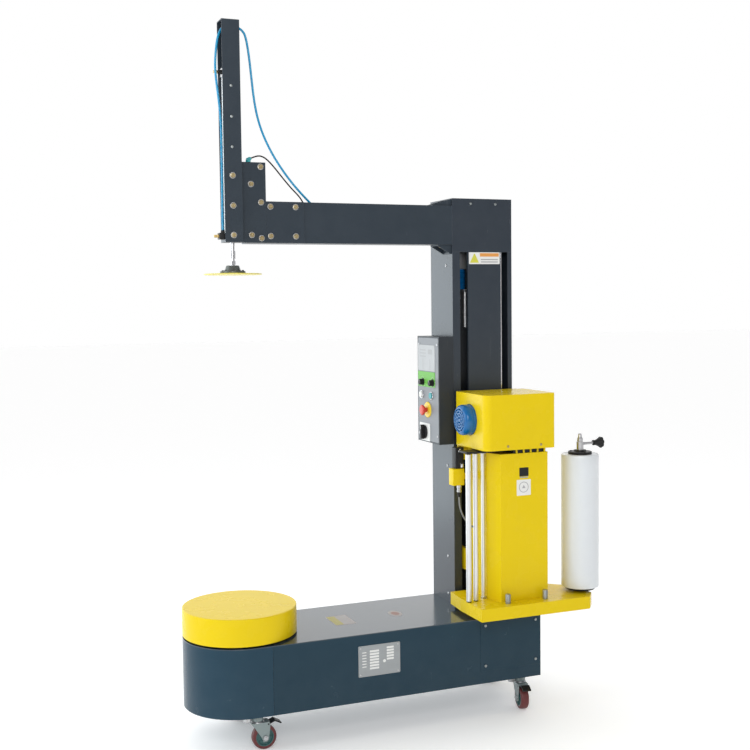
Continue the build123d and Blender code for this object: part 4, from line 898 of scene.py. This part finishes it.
def buildFilmRoll(values):
    low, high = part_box("film_roll")
    axle = axisOf("film_spin")
    place = Matrix.Translation((axle.x, axle.y, 0))
    radius = (high.x - low.x) / 2
    inner = values["core"] + values["coreWall"]
    top, bottom = [], []
    for k in range(values["layers"]):  # slightly uneven wound edges
        a = inner + (radius - 0.003 - inner) * k / values["layers"]
        b = inner + (radius - 0.003 - inner) * (k + 1) / values["layers"]
        sink = 0.0006 + 0.0008 * ((k * 37) % 5) / 5
        top += [(a, high.z - sink), (b - 0.0004, high.z - sink)]
        bottom += [(b - 0.0004, low.z + sink), (a, low.z + sink)]
    outer = [(radius - 0.003, high.z), (radius - 0.001, high.z - 0.001), (radius, high.z - 0.004)]
    for k in range(1, 12):  # faint swells where the web wandered
        z = high.z + (low.z - high.z) * k / 12
        outer.append((radius - 0.0001 - 0.0003 * ((k * 53) % 7) / 7, z))
    outer += [(radius, low.z + 0.004), (radius - 0.001, low.z + 0.001), (radius - 0.003, low.z)]
    turnedPiece("woundFilmRoll", top + outer + sorted(bottom, key=lambda point: -point[0]), place, 96, film,
                "film", replaced="film_roll")
    turnedPiece("filmCore", [(values["core"], low.z + 0.0004), (values["core"], high.z - 0.0004),
                             (inner, high.z - 0.0004), (inner, low.z + 0.0004)], place, 64, cardboard, "film",
                replaced="film_roll")


buildFilmRoll(filmRoll)

spindle = {"flange": 0.055, "stub": 0.0134, "clamp": 0.044, "screws": (0.5, 2.6, 4.7)}


def buildSpindle(values):
    low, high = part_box("film_spindle")
    rollLow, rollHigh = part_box("film_roll")
    axle = axisOf("film_spin")
    place = Matrix.Translation((axle.x, axle.y, 0))
    f, stub, top = values["flange"], values["stub"], rollHigh.z
    turnedPiece("spindleMandrel", [(0.0, low.z), (0.0095, low.z), (0.010, low.z + 0.0005),
                                   (0.010, rollLow.z - 0.0097), (f - 0.001, rollLow.z - 0.0097),
                                   (f, rollLow.z - 0.0087), (f, rollLow.z - 0.0012), (f - 0.001, rollLow.z),
                                   (0.0376, rollLow.z), (0.0376, top - 0.010), (0.0, top - 0.010)], place, 64,
                black, "film", replaced="film_spindle")
    bm = bmesh.new()
    clamp = values["clamp"]
    turned(bm, [(0.0, top - 0.010), (0.0376, top - 0.010), (0.0376, top - 0.0001),
                (clamp - 0.0005, top + 0.0003), (clamp, top + 0.0010), (clamp, top + 0.0085),
                (clamp - 0.001, top + 0.0095), (0.024, top + 0.0102), (0.0225, top + 0.0150),
                (0.0, top + 0.0160)], place, 64)
    for turn in values["screws"]:  # screws through the plate
        turned(bm, [(0.0, 0.0), (0.0040, 0.0), (0.0040, 0.0025), (0.0030, 0.0034), (0.0, 0.0034)],
               place @ Matrix.Translation((0.034 * math.cos(turn), 0.034 * math.sin(turn), top + 0.0095)), 16)
    piece("spindleCone", bm, black, "film", replaced="film_spindle")
    turnedPiece("spindleTip", [(0.0, top + 0.014), (stub, top + 0.014), (stub, top + 0.044),
                               (stub - 0.001, top + 0.0455), (0.0108, top + 0.0465), (0.0108, top + 0.058),
                               (0.0095, top + 0.0595), (0.0072, top + 0.064), (0.0062, high.z - 0.0015),
                               (0.005, high.z), (0.0, high.z)], place, 40, steel, "film",
                replaced="film_spindle")


buildSpindle(spindle)

filmKnob = {"lobes": 7, "depth": 0.0028}


def buildFilmKnob(values):
    low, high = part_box("film_knob")
    axle = axisOf("film_knob_turn")
    place = facing((high.x - 0.040, axle.y, axle.z), (1, 0, 0))
    turnedPiece("filmKnobStem", [(0.0, low.x - high.x + 0.040), (0.005, low.x - high.x + 0.040),
                                 (0.005, 0.001), (0.0, 0.001)], place, 24, steel, "film_knob",
                replaced="film_knob")
    bm = bmesh.new()
    rings, steps = [], 84
    for radius, height, lobe in ((0.009, 0.0, 0), (0.0105, 0.002, 0), (0.0095, 0.008, 0),
                                 (0.0105, 0.014, 0.2), (0.0140, 0.022, 0.6), (0.0185, 0.029, 1),
                                 (0.0212, 0.033, 1), (0.0218, 0.036, 1), (0.0205, 0.0385, 1),
                                 (0.012, 0.040, 0.3), (0.006, 0.0392, 0)):
        ring = []
        for k in range(steps):
            turn = math.tau * k / steps
            r = radius - values["depth"] * lobe * (0.5 - 0.5 * math.cos(values["lobes"] * turn)) ** 2
            ring.append((r * math.cos(turn), r * math.sin(turn), height))
        rings.append(ring)
    loft(bm, rings, place)
    piece("filmKnobGrip", bm, black, "film_knob", angle=50, replaced="film_knob")


buildFilmKnob(filmKnob)
print("film carriage ready")


# the lift drive is seen through the column's slots
liftScrew = {"pitch": 0.010, "crest": 0.0125, "root": 0.0098}


def buildLiftScrew(values):
    low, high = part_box("lift_screw")
    axle = axisOf("lift_screw_turn")
    steps, pitch = 24, values["pitch"]
    bottom, top = low.z + 0.004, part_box("lift_motor")[0].z - 0.004
    turns = int((top - bottom) / pitch)
    bm = bmesh.new()
    shape = ((values["root"], 0.0), (values["root"], 0.30), (values["crest"], 0.46), (values["crest"], 0.84))
    columns = [[] for line in shape]
    for k in range(turns * steps + 1):  # a round-shouldered thread wound up the bar
        turn, z = math.tau * k / steps, bottom + pitch * k / steps
        for line, (radius, rise) in zip(columns, shape):
            line.append(bm.verts.new((axle.x + radius * math.cos(turn), axle.y + radius * math.sin(turn),
                                      z + rise * pitch)))
    count = turns * steps
    for a, b in zip(columns, columns[1:]):
        for k in range(count):
            bm.faces.new((a[k], a[k + 1], b[k + 1], b[k]))
    first, last = columns[0], columns[-1]
    for k in range(count - steps):
        bm.faces.new((last[k], last[k + 1], first[k + steps + 1], first[k + steps]))
    piece("liftScrewThread", bm, steel, "lift_screw", replaced="lift_screw")
    turnedPiece("liftScrewCore", [(0.0, low.z), (0.0094, low.z), (0.0094, top + 0.001), (0.008, top + 0.002),
                                  (0.008, high.z), (0.0, high.z)], Matrix.Translation((axle.x, axle.y, 0)),
                32, steel, "lift_screw", replaced="lift_screw")


buildLiftScrew(liftScrew)

liftMotor = {"ribs": 7, "soft": 0.003, "stopRod": (0.0262, -0.0262)}


def buildLiftMotor(values):
    low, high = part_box("lift_motor")
    x, y, r = (low.x + high.x) / 2, (low.y + high.y) / 2, (high.x - low.x) / 2
    split = low.z + 0.076
    bm = bmesh.new()
    slab(bm, (low.x, low.y, split), high, values["soft"])
    piece("liftGearbox", bm, anodised, "frame", replaced="lift_motor")
    profile = [(0.0082, low.z), (r - 0.004, low.z), (r - 0.003, low.z + 0.001)]
    for k in range(values["ribs"]):
        z = low.z + 0.006 + 0.0095 * k
        profile += [(r - 0.003, z), (r, z + 0.0008), (r, z + 0.0045), (r - 0.003, z + 0.0053)]
    profile += [(r - 0.002, split), (0.0082, split)]
    turnedPiece("liftMotorBody", profile, Matrix.Translation((x, y, 0)), 56, motorBlue, "frame",
                replaced="lift_motor")
    bm = bmesh.new()  # stop rod under the motor, seen in the left slot
    rod = Matrix.Translation((x + values["stopRod"][0], y + values["stopRod"][1], low.z))
    turned(bm, [(0.0, -0.146), (0.0070, -0.146), (0.0075, -0.1455), (0.0075, -0.100), (0.0066, -0.0995),
                (0.0066, -0.0965), (0.0075, -0.096), (0.0075, -0.004), (0.0, -0.004)], rod, 32)
    prism(bm, circle(0.0105), -0.0105, 0.0002, rod)
    piece("liftStopRod", bm, anodised, "frame")


buildLiftMotor(liftMotor)


# plates and labels are plain shapes with nothing written

def flatPlate(name, x, y, z, depth, material, body="frame", radius=0.002, shape=None):
    # a thin rounded plate on a face that looks forward; x and z are its left and right, low and high
    outline = shape or roundedOutline(x[1] - x[0], z[1] - z[0], radius)
    bm = bmesh.new()
    prism(bm, outline, 0.0, depth, frontPlace((x[0] + x[1]) / 2, y, (z[0] + z[1]) / 2))
    return piece(name, bm, material, body)


namePlate = {"left": 0.368, "right": 0.526, "low": 0.215, "high": 0.325, "thickness": 0.0012}


def buildNamePlate(values):
    left, right = turnX + values["left"], turnX + values["right"]
    thickness = values["thickness"]
    flatPlate("ratingPlate", (left, right), baseFront, (values["low"], values["high"]), thickness, plateSteel,
              radius=0.004)
    bm = bmesh.new()
    face = baseFront - thickness
    width, height = right - left, values["high"] - values["low"]
    for column, start, rows, wide in ((0.38, 0.80, 7, 0.22), (0.76, 0.86, 5, 0.17), (0.14, 0.78, 6, 0.10)):
        for row in range(rows):  # blank fields, pressed a little proud
            middle = frontPlace(left + width * column, face, values["low"] + height * (start - 0.092 * row))
            prism(bm, roundedOutline(width * wide, height * (0.062 if wide > 0.12 else 0.03), 0.0009, 2), 0.0,
                  0.0004, middle)
    turned(bm, [(0.0, 0.0), (0.0055, 0.0), (0.0055, 0.0004), (0.0, 0.0004)],
           frontPlace(left + width * 0.62, face, values["low"] + height * 0.44), 20)
    piece("ratingPlateFields", bm, labelWhite, "frame")
    bm = bmesh.new()
    for x in (left + 0.008, right - 0.008):
        for z in (values["low"] + 0.008, values["high"] - 0.008):
            turned(bm, [(0.0, 0.0), (0.0032, 0.0), (0.0030, 0.0009), (0.0020, 0.0017), (0.0, 0.0021)],
                   facing((x, face, z), (0, -1, 0)), 16)
    piece("ratingPlateRivets", bm, steel, "frame")


buildNamePlate(namePlate)

topLabels = {"first": 0.378, "second": 0.593, "thickness": 0.0003}


def buildTopLabels(values):
    x, thin = turnX + values["first"], values["thickness"]
    place = Matrix.Translation((x, turnY, baseTop))
    for name, outline, high, material in (
            ("deckLabelSheet", roundedOutline(0.078, 0.120, 0.003), thin, deckLabel),
            ("deckLabelBand", [(px - 0.022, py) for px, py in roundedOutline(0.030, 0.112, 0.002)],
             thin + 0.0001, deckYellow)):
        bm = bmesh.new()
        prism(bm, outline, 0.0, high, place)
        piece(name, bm, material, "frame")
    bm = bmesh.new()
    for k in range(5):
        prism(bm, [(px + 0.012, py + 0.040 - 0.020 * k) for px, py in roundedOutline(0.034, 0.006, 0.001, 2)],
              0.0, thin + 0.0001, place)
    piece("deckLabelBars", bm, labelGrey, "frame")
    place = Matrix.Translation((turnX + values["second"], turnY, baseTop))
    for name, scale, rise, material in (("deckDiscRim", 1.0, thin, deckLabel),
                                        ("deckDiscFace", 0.60, thin + 0.0001, deckBrown)):
        bm = bmesh.new()
        prism(bm, [(0.024 * x, 0.038 * y) for x, y in circle(scale, 48)], 0.0, rise, place)
        piece(name, bm, material, "frame")


buildTopLabels(topLabels)

sideScrews = {"inFromFront": 0.055, "heights": (0.400, 0.545, 0.895, 1.655)}


def buildSideScrews(values):
    bm = bmesh.new()
    for z in values["heights"]:
        turned(bm, [(0.0, 0.0), (0.0052, 0.0), (0.0052, 0.0009), (0.0045, 0.0021), (0.0026, 0.0027),
                    (0.0022, 0.0027), (0.0021, 0.0013), (0.0, 0.0012)],
               facing((columnLow.x, columnFront + values["inFromFront"], z),
                                                             (-1, 0, 0)), 20)
    piece("columnSideScrews", bm, steel, "frame")


buildSideScrews(sideScrews)

columnLabel = {"left": 0.914, "right": 1.044, "low": 1.659, "high": 1.703}


def buildColumnLabel(values):
    left, right = turnX + values["left"], turnX + values["right"]
    low, high = values["low"], values["high"]
    flatPlate("columnLabelSheet", (left, right), columnFront, (low, high), 0.0004, labelWhite)
    flatPlate("columnLabelBand", (left + 0.046, right - 0.004), columnFront, (high - 0.016, high - 0.003),
              0.0006, labelOrange, radius=0.001)
    flatPlate("columnLabelSign", (left + 0.004, left + 0.042), columnFront, (low + 0.004, high - 0.004),
              0.0006, labelYellow,
              shape=[(-0.019, -0.017), (0.019, -0.017), (0.0015, 0.017), (-0.0015, 0.017)])
    bm = bmesh.new()
    for k in range(2):
        prism(bm, roundedOutline(0.072, 0.004, 0.001, 2), 0.0, 0.0006,
              frontPlace((left + right) / 2 + 0.021, columnFront, low + 0.008 + 0.009 * k))
    piece("columnLabelBars", bm, labelGrey, "frame")


buildColumnLabel(columnLabel)

coverLabel = {"middle": 1.012, "low": 0.812, "size": 0.058}


def buildCoverLabels(values):
    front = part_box("carriage_cover")[0].y
    x, low, size = turnX + values["middle"], values["low"], values["size"]
    flatPlate("coverSignSheet", (x - size / 2, x + size / 2), front, (low, low + size), 0.0004, labelWhite,
              "carriage")
    bm = bmesh.new()
    place = frontPlace(x, front, low + size * 0.52)
    turned(bm, [(size * 0.30, 0.0), (size * 0.34, 0.0), (size * 0.34, 0.0007), (size * 0.30, 0.0007)], place,
           48)
    prism(bm, [(size * 0.14 * math.sin(math.tau * k / 3),
                size * 0.14 * math.cos(math.tau * k / 3)) for k in range(3)],
          0.0, 0.0007, place)
    piece("coverSignRing", bm, labelGrey, "carriage")
    flatPlate("coverTagPlate", (x - 0.018, x + 0.020), front, (low + 0.070, low + 0.102), 0.0006, black,
              "carriage")
    flatPlate("coverTagStripe", (x - 0.016, x + 0.018), front, (low + 0.064, low + 0.0685), 0.0006, labelGrey,
              "carriage", radius=0.001)


buildCoverLabels(coverLabel)
print("plates and labels ready")


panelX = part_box("control_box")[0].x
boxLow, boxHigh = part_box("control_box")
controlBox = {"inset": 0.006, "green": (1.195, 1.253), "silver": (1.256, 1.355)}


def panelPlate(name, y, z, depth, material, radius=0.003):
    bm = bmesh.new()
    prism(bm, roundedOutline(y[1] - y[0], z[1] - z[0], radius), 0.0, depth,
          panelPlace((y[0] + y[1]) / 2, (z[0] + z[1]) / 2))
    return piece(name, bm, material, "frame")


def buildControlPanel(values):
    panelPlate("panelFace", (boxLow.y + values["inset"], boxHigh.y - values["inset"]),
               (boxLow.z + values["inset"], boxHigh.z - values["inset"]), 0.0002, panelGrey,
               0.006)
    left, right = boxLow.y + 0.034, boxHigh.y - 0.006
    panelPlate("instrumentPlate", (left, right), values["silver"], 0.0014, silverInk)
    bm = bmesh.new()
    middle = sum(values["silver"]) / 2
    for y, z, width, height in ((0.30, 0.030, 0.34, 0.004), (0.30, 0.018, 0.34, 0.004),
                                (0.30, 0.006, 0.34, 0.004), (0.72, 0.024, 0.22, 0.018),
                                (0.30, -0.024, 0.020, 0.040), (0.72, -0.024, 0.020, 0.040)):
        prism(bm, roundedOutline((right - left) * width, height, 0.001, 2), 0.0, 0.0017,
              panelPlace(right - (right - left) * y, middle + z))
    piece("instrumentMarks", bm, labelGrey, "frame")
    panelPlate("speedBand", (left, right), values["green"], 0.0014, green)
    for name in ("speed_knob_turntable_turn", "speed_knob_carriage_turn"):  # dial marks round each knob
        axle = axisOf(name)
        bm = bmesh.new()
        for k in range(11):
            turn = math.radians(225 - 27 * k)
            place = panelPlace(axle.y, axle.z) @ Matrix.Rotation(turn, 4,
                                                                 "Z") @ Matrix.Translation((0.0205, 0, 0))
            prism(bm, [(-0.0022, -0.0005), (0.0022, -0.0005), (0.0022, 0.0005), (-0.0022, 0.0005)], 0.0,
                  0.0018, place)
        piece("dialMarks" + ("A" if "turntable" in name else "B"), bm, white, "frame")
    bm = bmesh.new()
    for name in ("push_button_start", "push_button_reset"):
        axle = middleOf(name)
        turned(bm, [(0.0124, 0.0), (0.0155, 0.0), (0.0155, 0.0035), (0.0140, 0.0055), (0.0128, 0.0055),
                    (0.0124, 0.005)], panelPlace(axle.y, axle.z), 48)
    piece("buttonBezels", bm, chrome, "frame")
    bm = bmesh.new()
    axle = middleOf("emergency_stop")
    turned(bm, [(0.0090, 0.0), (0.0300, 0.0), (0.0300, 0.0022), (0.0285, 0.0040), (0.0170, 0.0050),
                (0.0160, 0.0058), (0.0090, 0.0058)], panelPlace(axle.y, axle.z), 64)
    piece("stopRing", bm, ringYellow, "frame")
    axle = axisOf("main_switch_turn")
    panelPlate("switchPlate", (axle.y - 0.046, axle.y + 0.046), (axle.z - 0.034, axle.z + 0.034), 0.0014,
               white, 0.004)
    bm = bmesh.new()
    for k in range(4):
        z = boxLow.z + (0.03 if k % 2 else boxHigh.z - boxLow.z - 0.03)
        y = boxLow.y + 0.014 if k < 2 else boxHigh.y - 0.014
        turned(bm, [(0.0, 0.0), (0.0046, 0.0), (0.0046, 0.0016), (0.0034, 0.0026), (0.0016, 0.0026),
                    (0.0014, 0.0016), (0.0, 0.0014)], panelPlace(y, z), 20)
    piece("panelCornerScrews", bm, steel, "frame")


buildControlPanel(controlBox)


def buildSpeedKnob(bodyName, pieceName):
    axle = axisOf(bodyName + "_turn")
    low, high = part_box(bodyName)
    reach = panelX - low.x
    place = panelPlace(axle.y, axle.z)
    bm = bmesh.new()
    rings, steps = [], 72
    for radius, height, flute in ((0.009, panelX - high.x, 0), (0.009, 0.0, 0), (0.0135, 0.0004, 0),
                                  (0.014, 0.001, 0), (0.014, 0.0028, 0), (0.0115, 0.0036, 1),
                                  (0.0110, reach - 0.0012, 1), (0.0100, reach - 0.0001, 0.3)):
        ring = []
        for k in range(steps):  # every third point is cut in, which makes the flutes
            turn, r = math.tau * k / steps, radius - (0.0006 * flute if k % 3 == 0 else 0.0)
            ring.append((r * math.cos(turn), r * math.sin(turn), height))
        rings.append(ring)
    loft(bm, rings, place)
    piece(pieceName, bm, black, bodyName, replaced=bodyName)
    bm = bmesh.new()
    slab(bm, (low.x - 0.0002, axle.y - 0.0007, axle.z + 0.002),
         (low.x + 0.001, axle.y + 0.0007, axle.z + 0.0102))
    piece(pieceName + "Line", bm, white, bodyName, replaced=bodyName)


buildSpeedKnob("speed_knob_turntable", "turntableSpeedKnob")
buildSpeedKnob("speed_knob_carriage", "carriageSpeedKnob")


def buildPushButton(bodyName, pieceName, capMaterial):
    axle = middleOf(bodyName)
    place = panelPlace(axle.y, axle.z)
    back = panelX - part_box(bodyName)[1].x
    turnedPiece(pieceName, [(0.0, back), (0.008, back), (0.008, 0.0046), (0.0115, 0.0046), (0.0119, 0.0050),
                            (0.0119, 0.0080), (0.0108, 0.0091), (0.0070, 0.0086), (0.0, 0.0082)], place, 48,
                capMaterial, bodyName, replaced=bodyName)


buildPushButton("push_button_start", "startButton", white)
buildPushButton("push_button_reset", "resetButton", teal)


def buildStopButton():
    low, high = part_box("emergency_stop")
    axle = middleOf("emergency_stop")
    place = panelPlace(axle.y, axle.z)
    back, reach = panelX - high.x, panelX - low.x
    turnedPiece("stopMushroom", [(0.0, back), (0.008, back), (0.008, 0.0140), (0.0130, 0.0145),
                                 (0.0140, 0.0155), (0.0140, 0.0190), (0.0180, 0.0200), (0.0196, 0.0215),
                                 (0.0200, 0.0235), (0.0194, reach - 0.0030), (0.0165, reach - 0.0010),
                                 (0.0110, reach), (0.0, reach)], place, 64, red, "emergency_stop",
                replaced="emergency_stop")


buildStopButton()


def buildMainSwitch():
    low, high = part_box("main_switch")
    axle = axisOf("main_switch_turn")
    place = panelPlace(axle.y, axle.z)
    back, reach = panelX - high.x, panelX - low.x
    bm = bmesh.new()
    turned(bm, [(0.0, back), (0.008, back), (0.008, 0.0018), (0.0250, 0.0018), (0.0260, 0.0026),
                (0.0260, 0.0052), (0.0245, 0.0064), (0.0, 0.0068)], place, 64)
    grip = [(-0.0068, -0.024), (-0.0045, -0.0275), (0.0045, -0.0275), (0.0068, -0.024), (0.0052, 0.0),
            (0.0068, 0.024), (0.0045, 0.0275), (-0.0045, 0.0275), (-0.0068, 0.024), (-0.0052, 0.0)]
    prism(bm, grip, 0.0060, reach, place)
    piece("switchDial", bm, black, "main_switch", replaced="main_switch")
    bm = bmesh.new()
    prism(bm, [(-0.0012, 0.010), (0.0012, 0.010), (0.0012, 0.025), (-0.0012, 0.025)], reach - 0.0006,
          reach + 0.0003, place)
    piece("switchPointer", bm, white, "main_switch", replaced="main_switch")


buildMainSwitch()
print("control box ready")


casterWheel = {"width": 0.030, "radius": 0.0425, "hub": 0.0315, "spokes": 5}


def buildCasterWheel(corner, values):
    joint = joints["wheel_" + corner + "_spin"]
    place = facing(joint["pos_m"], joint["axis"])
    half, radius, hub = values["width"] / 2, values["radius"], values["hub"]
    body = "wheel_" + corner
    label = labelOf(corner)
    bm = bmesh.new()
    shoulder = [(radius, half - 0.009), (radius - 0.0004, half - 0.005), (radius - 0.0018, half - 0.0016),
                (radius - 0.0045, half), (hub, half)]
    turned(bm, [(r, -z) for r, z in shoulder[::-1]] + shoulder, place, 80)
    piece("casterTread" + label, bm, treadRed, body, replaced="caster_wheel_" + corner)
    bm = bmesh.new()
    dished = [(hub - 0.0002, half), (0.0282, half - 0.0006), (0.0265, half - 0.0055), (0.0122, half - 0.0045),
              (0.0118, half - 0.001), (0.0110, half), (0.0053, half)]
    turned(bm, [(r, -z) for r, z in dished[::-1]] + dished, place, 64)
    for k in range(values["spokes"]):
        for side in (-1, 1):
            web = place @ Matrix.Rotation(math.tau * k / values["spokes"], 4, "Z")
            low, high = sorted((side * (half - 0.0065), side * (half - 0.0018)))
            prism(bm, [(0.0118, -0.0014), (0.0275, -0.0010), (0.0275, 0.0010), (0.0118, 0.0014)], low, high,
                  web)
    piece("casterHub" + label, bm, hubTeal, body, replaced="caster_wheel_" + corner)
    bm = bmesh.new()
    for side in (-1, 1):  # axle nuts
        nut = facing(Vector(joint["pos_m"]) + side * 0.0200 * Vector(joint["axis"]),
                     side * Vector(joint["axis"]), 0.3)
        prism(bm, circle(0.0088), 0.0, 0.0058, nut)
        turned(bm, [(0.0, 0.0055), (0.0050, 0.0055), (0.0050, 0.0070), (0.0042, 0.0078), (0.0, 0.0080)], nut,
               20)
    carrier = "frame" if corner.startswith("back") else "caster_" + corner
    piece("axleNuts" + label, bm, steel, carrier)


for corner in ("front_left", "front_right", "back_left", "back_right"):
    buildCasterWheel(corner, casterWheel)

levelBolt = {"across": 0.0149, "tall": 0.0255, "inFromPivot": 0.0355, "casters": (0.015, 1.035),
             "aside": 0.150}


def buildLevelBolts(values):  # bright hexagon heads beside each caster, with a chamfered lower rim
    bm = bmesh.new()
    top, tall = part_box("base_side_front")[0].z, values["tall"]
    for x in values["casters"]:
        for y in (-values["aside"], values["aside"]):
            place = Matrix.Translation((turnX + x - values["inFromPivot"], turnY + y, top))
            shape = ((0.62, -tall - 0.0004), (0.90, -tall - 0.0004), (1.0, -tall + 0.0016), (1.0, -0.0002))
            loft(bm, [[(px, py, height) for px, py in circle(values["across"] * size)] for size,
                      height in shape],
                 place)
    piece("levelBolts", bm, steel, "frame")


buildLevelBolts(levelBolt)


def buildSwivelRace(corner):  # pressed ball race with its dust lip
    pivot = joints["caster_" + corner + "_swivel"]["pos_m"]
    turnedPiece("swivelRace" + labelOf(corner),
                [(0.0202, 0.0960), (0.0222, 0.0962), (0.0226, 0.0975), (0.0216, 0.0992), (0.0204, 0.1010),
                 (0.0202, 0.1012)], Matrix.Translation((pivot[0], pivot[1], 0)), 56, steel,
                "caster_" + corner)


for corner in ("front_left", "front_right"):
    buildSwivelRace(corner)
print("casters ready")


studio = {"floor": (0.93, 0.93, 0.93, 1), "glow": 0.22, "skyFront": 0.40, "skyBack": 1.25, "key": 92,
          "side": 46, "rim": 48}


def buildStudio(values):
    bm = bmesh.new()
    bmesh.ops.create_grid(bm, x_segments=1, y_segments=1, size=40)
    mesh = bpy.data.meshes.new("studioFloor")
    bm.to_mesh(mesh)
    bm.free()
    floor = placed("studioFloor", mesh)
    pale = bpy.data.materials.new("paleFloor")
    pale.use_nodes = True
    surface = pale.node_tree.nodes["Principled BSDF"]
    surface.inputs["Base Color"].default_value = values["floor"]
    surface.inputs["Roughness"].default_value = 0.8
    surface.inputs["Specular IOR Level"].default_value = 0.1
    surface.inputs["Emission Color"].default_value = (1, 1, 1, 1)
    surface.inputs["Emission Strength"].default_value = values["glow"]
    mesh.materials.append(pale)
    world = bpy.data.worlds.new("studioWorld")
    world.use_nodes = True
    tree = world.node_tree
    where = node(tree, "ShaderNodeSeparateXYZ")  # brighter wall behind the machine than in front of it
    tree.links.new(node(tree, "ShaderNodeTexCoord").outputs["Generated"], where.inputs[0])
    wall = node(tree, "ShaderNodeMapRange", {"From Min": -0.5, "From Max": 0.6, "To Min": values["skyFront"],
                                             "To Max": values["skyBack"]}, interpolation_type="SMOOTHSTEP")
    tree.links.new(where.outputs["Y"], wall.inputs["Value"])
    seen = node(tree, "ShaderNodeMix")  # plain white where the camera sees it directly
    seen.inputs[3].default_value = 1.0
    tree.links.new(node(tree, "ShaderNodeLightPath").outputs["Is Camera Ray"], seen.inputs[0])
    tree.links.new(wall.outputs["Result"], seen.inputs[2])
    tree.links.new(seen.outputs[0], tree.nodes["Background"].inputs["Strength"])
    tree.nodes["Background"].inputs["Color"].default_value = (1, 1, 1, 1)
    bpy.context.scene.world = world
    for name, place, target, size, power in (
            ("keyLight", (-1.9, -4.5, 3.1), (0, 0, 0.9), 2.6, values["key"]),
            ("sideLight", (-4.0, 0.2, 2.2), (0, 0.1, 1.0), 2.6, values["side"]),
            ("rimLight", (-1.7, 3.3, 0.8), (0.3, 0.1, 1.0), 3.2, values["rim"])):
        lamp = bpy.data.lights.new(name, "AREA")
        lamp.size = size
        lamp.energy = power
        lamp.color = (1, 1, 1) if name == "keyLight" else (0.82, 0.94, 1.0)
        made = placed(name, lamp)
        made.location = place
        made.rotation_euler = (Vector(target) - Vector(place)).to_track_quat("-Z", "Y").to_euler()
    bpy.context.scene.view_settings.view_transform = "Standard"


buildStudio(studio)

cameraView = {"place": (-1.6060, -3.7893, 1.5218), "heading": 22.03, "tilt": -3.69, "roll": 0.68,
              "lens": 54.48}


def buildCamera(values):
    heading, tilt, roll = (math.radians(values[key]) for key in ("heading", "tilt", "roll"))
    forward = Vector((math.sin(heading) * math.cos(tilt), math.cos(heading) * math.cos(tilt), math.sin(tilt)))
    level = Vector((math.cos(heading), -math.sin(heading), 0))
    lift = level.cross(forward)
    up = lift * math.cos(roll) + level * math.sin(roll)
    right = forward.cross(up)
    camera = bpy.data.cameras.new("studioCamera")
    camera.lens = values["lens"]
    camera.sensor_width = 36
    camera.clip_end = 100
    made = placed("studioCamera", camera)
    turn = Matrix((right, up, -forward)).transposed().to_4x4()
    made.matrix_world = Matrix.Translation(values["place"]) @ turn
    bpy.context.scene.camera = made


buildCamera(cameraView)
print("studio ready")
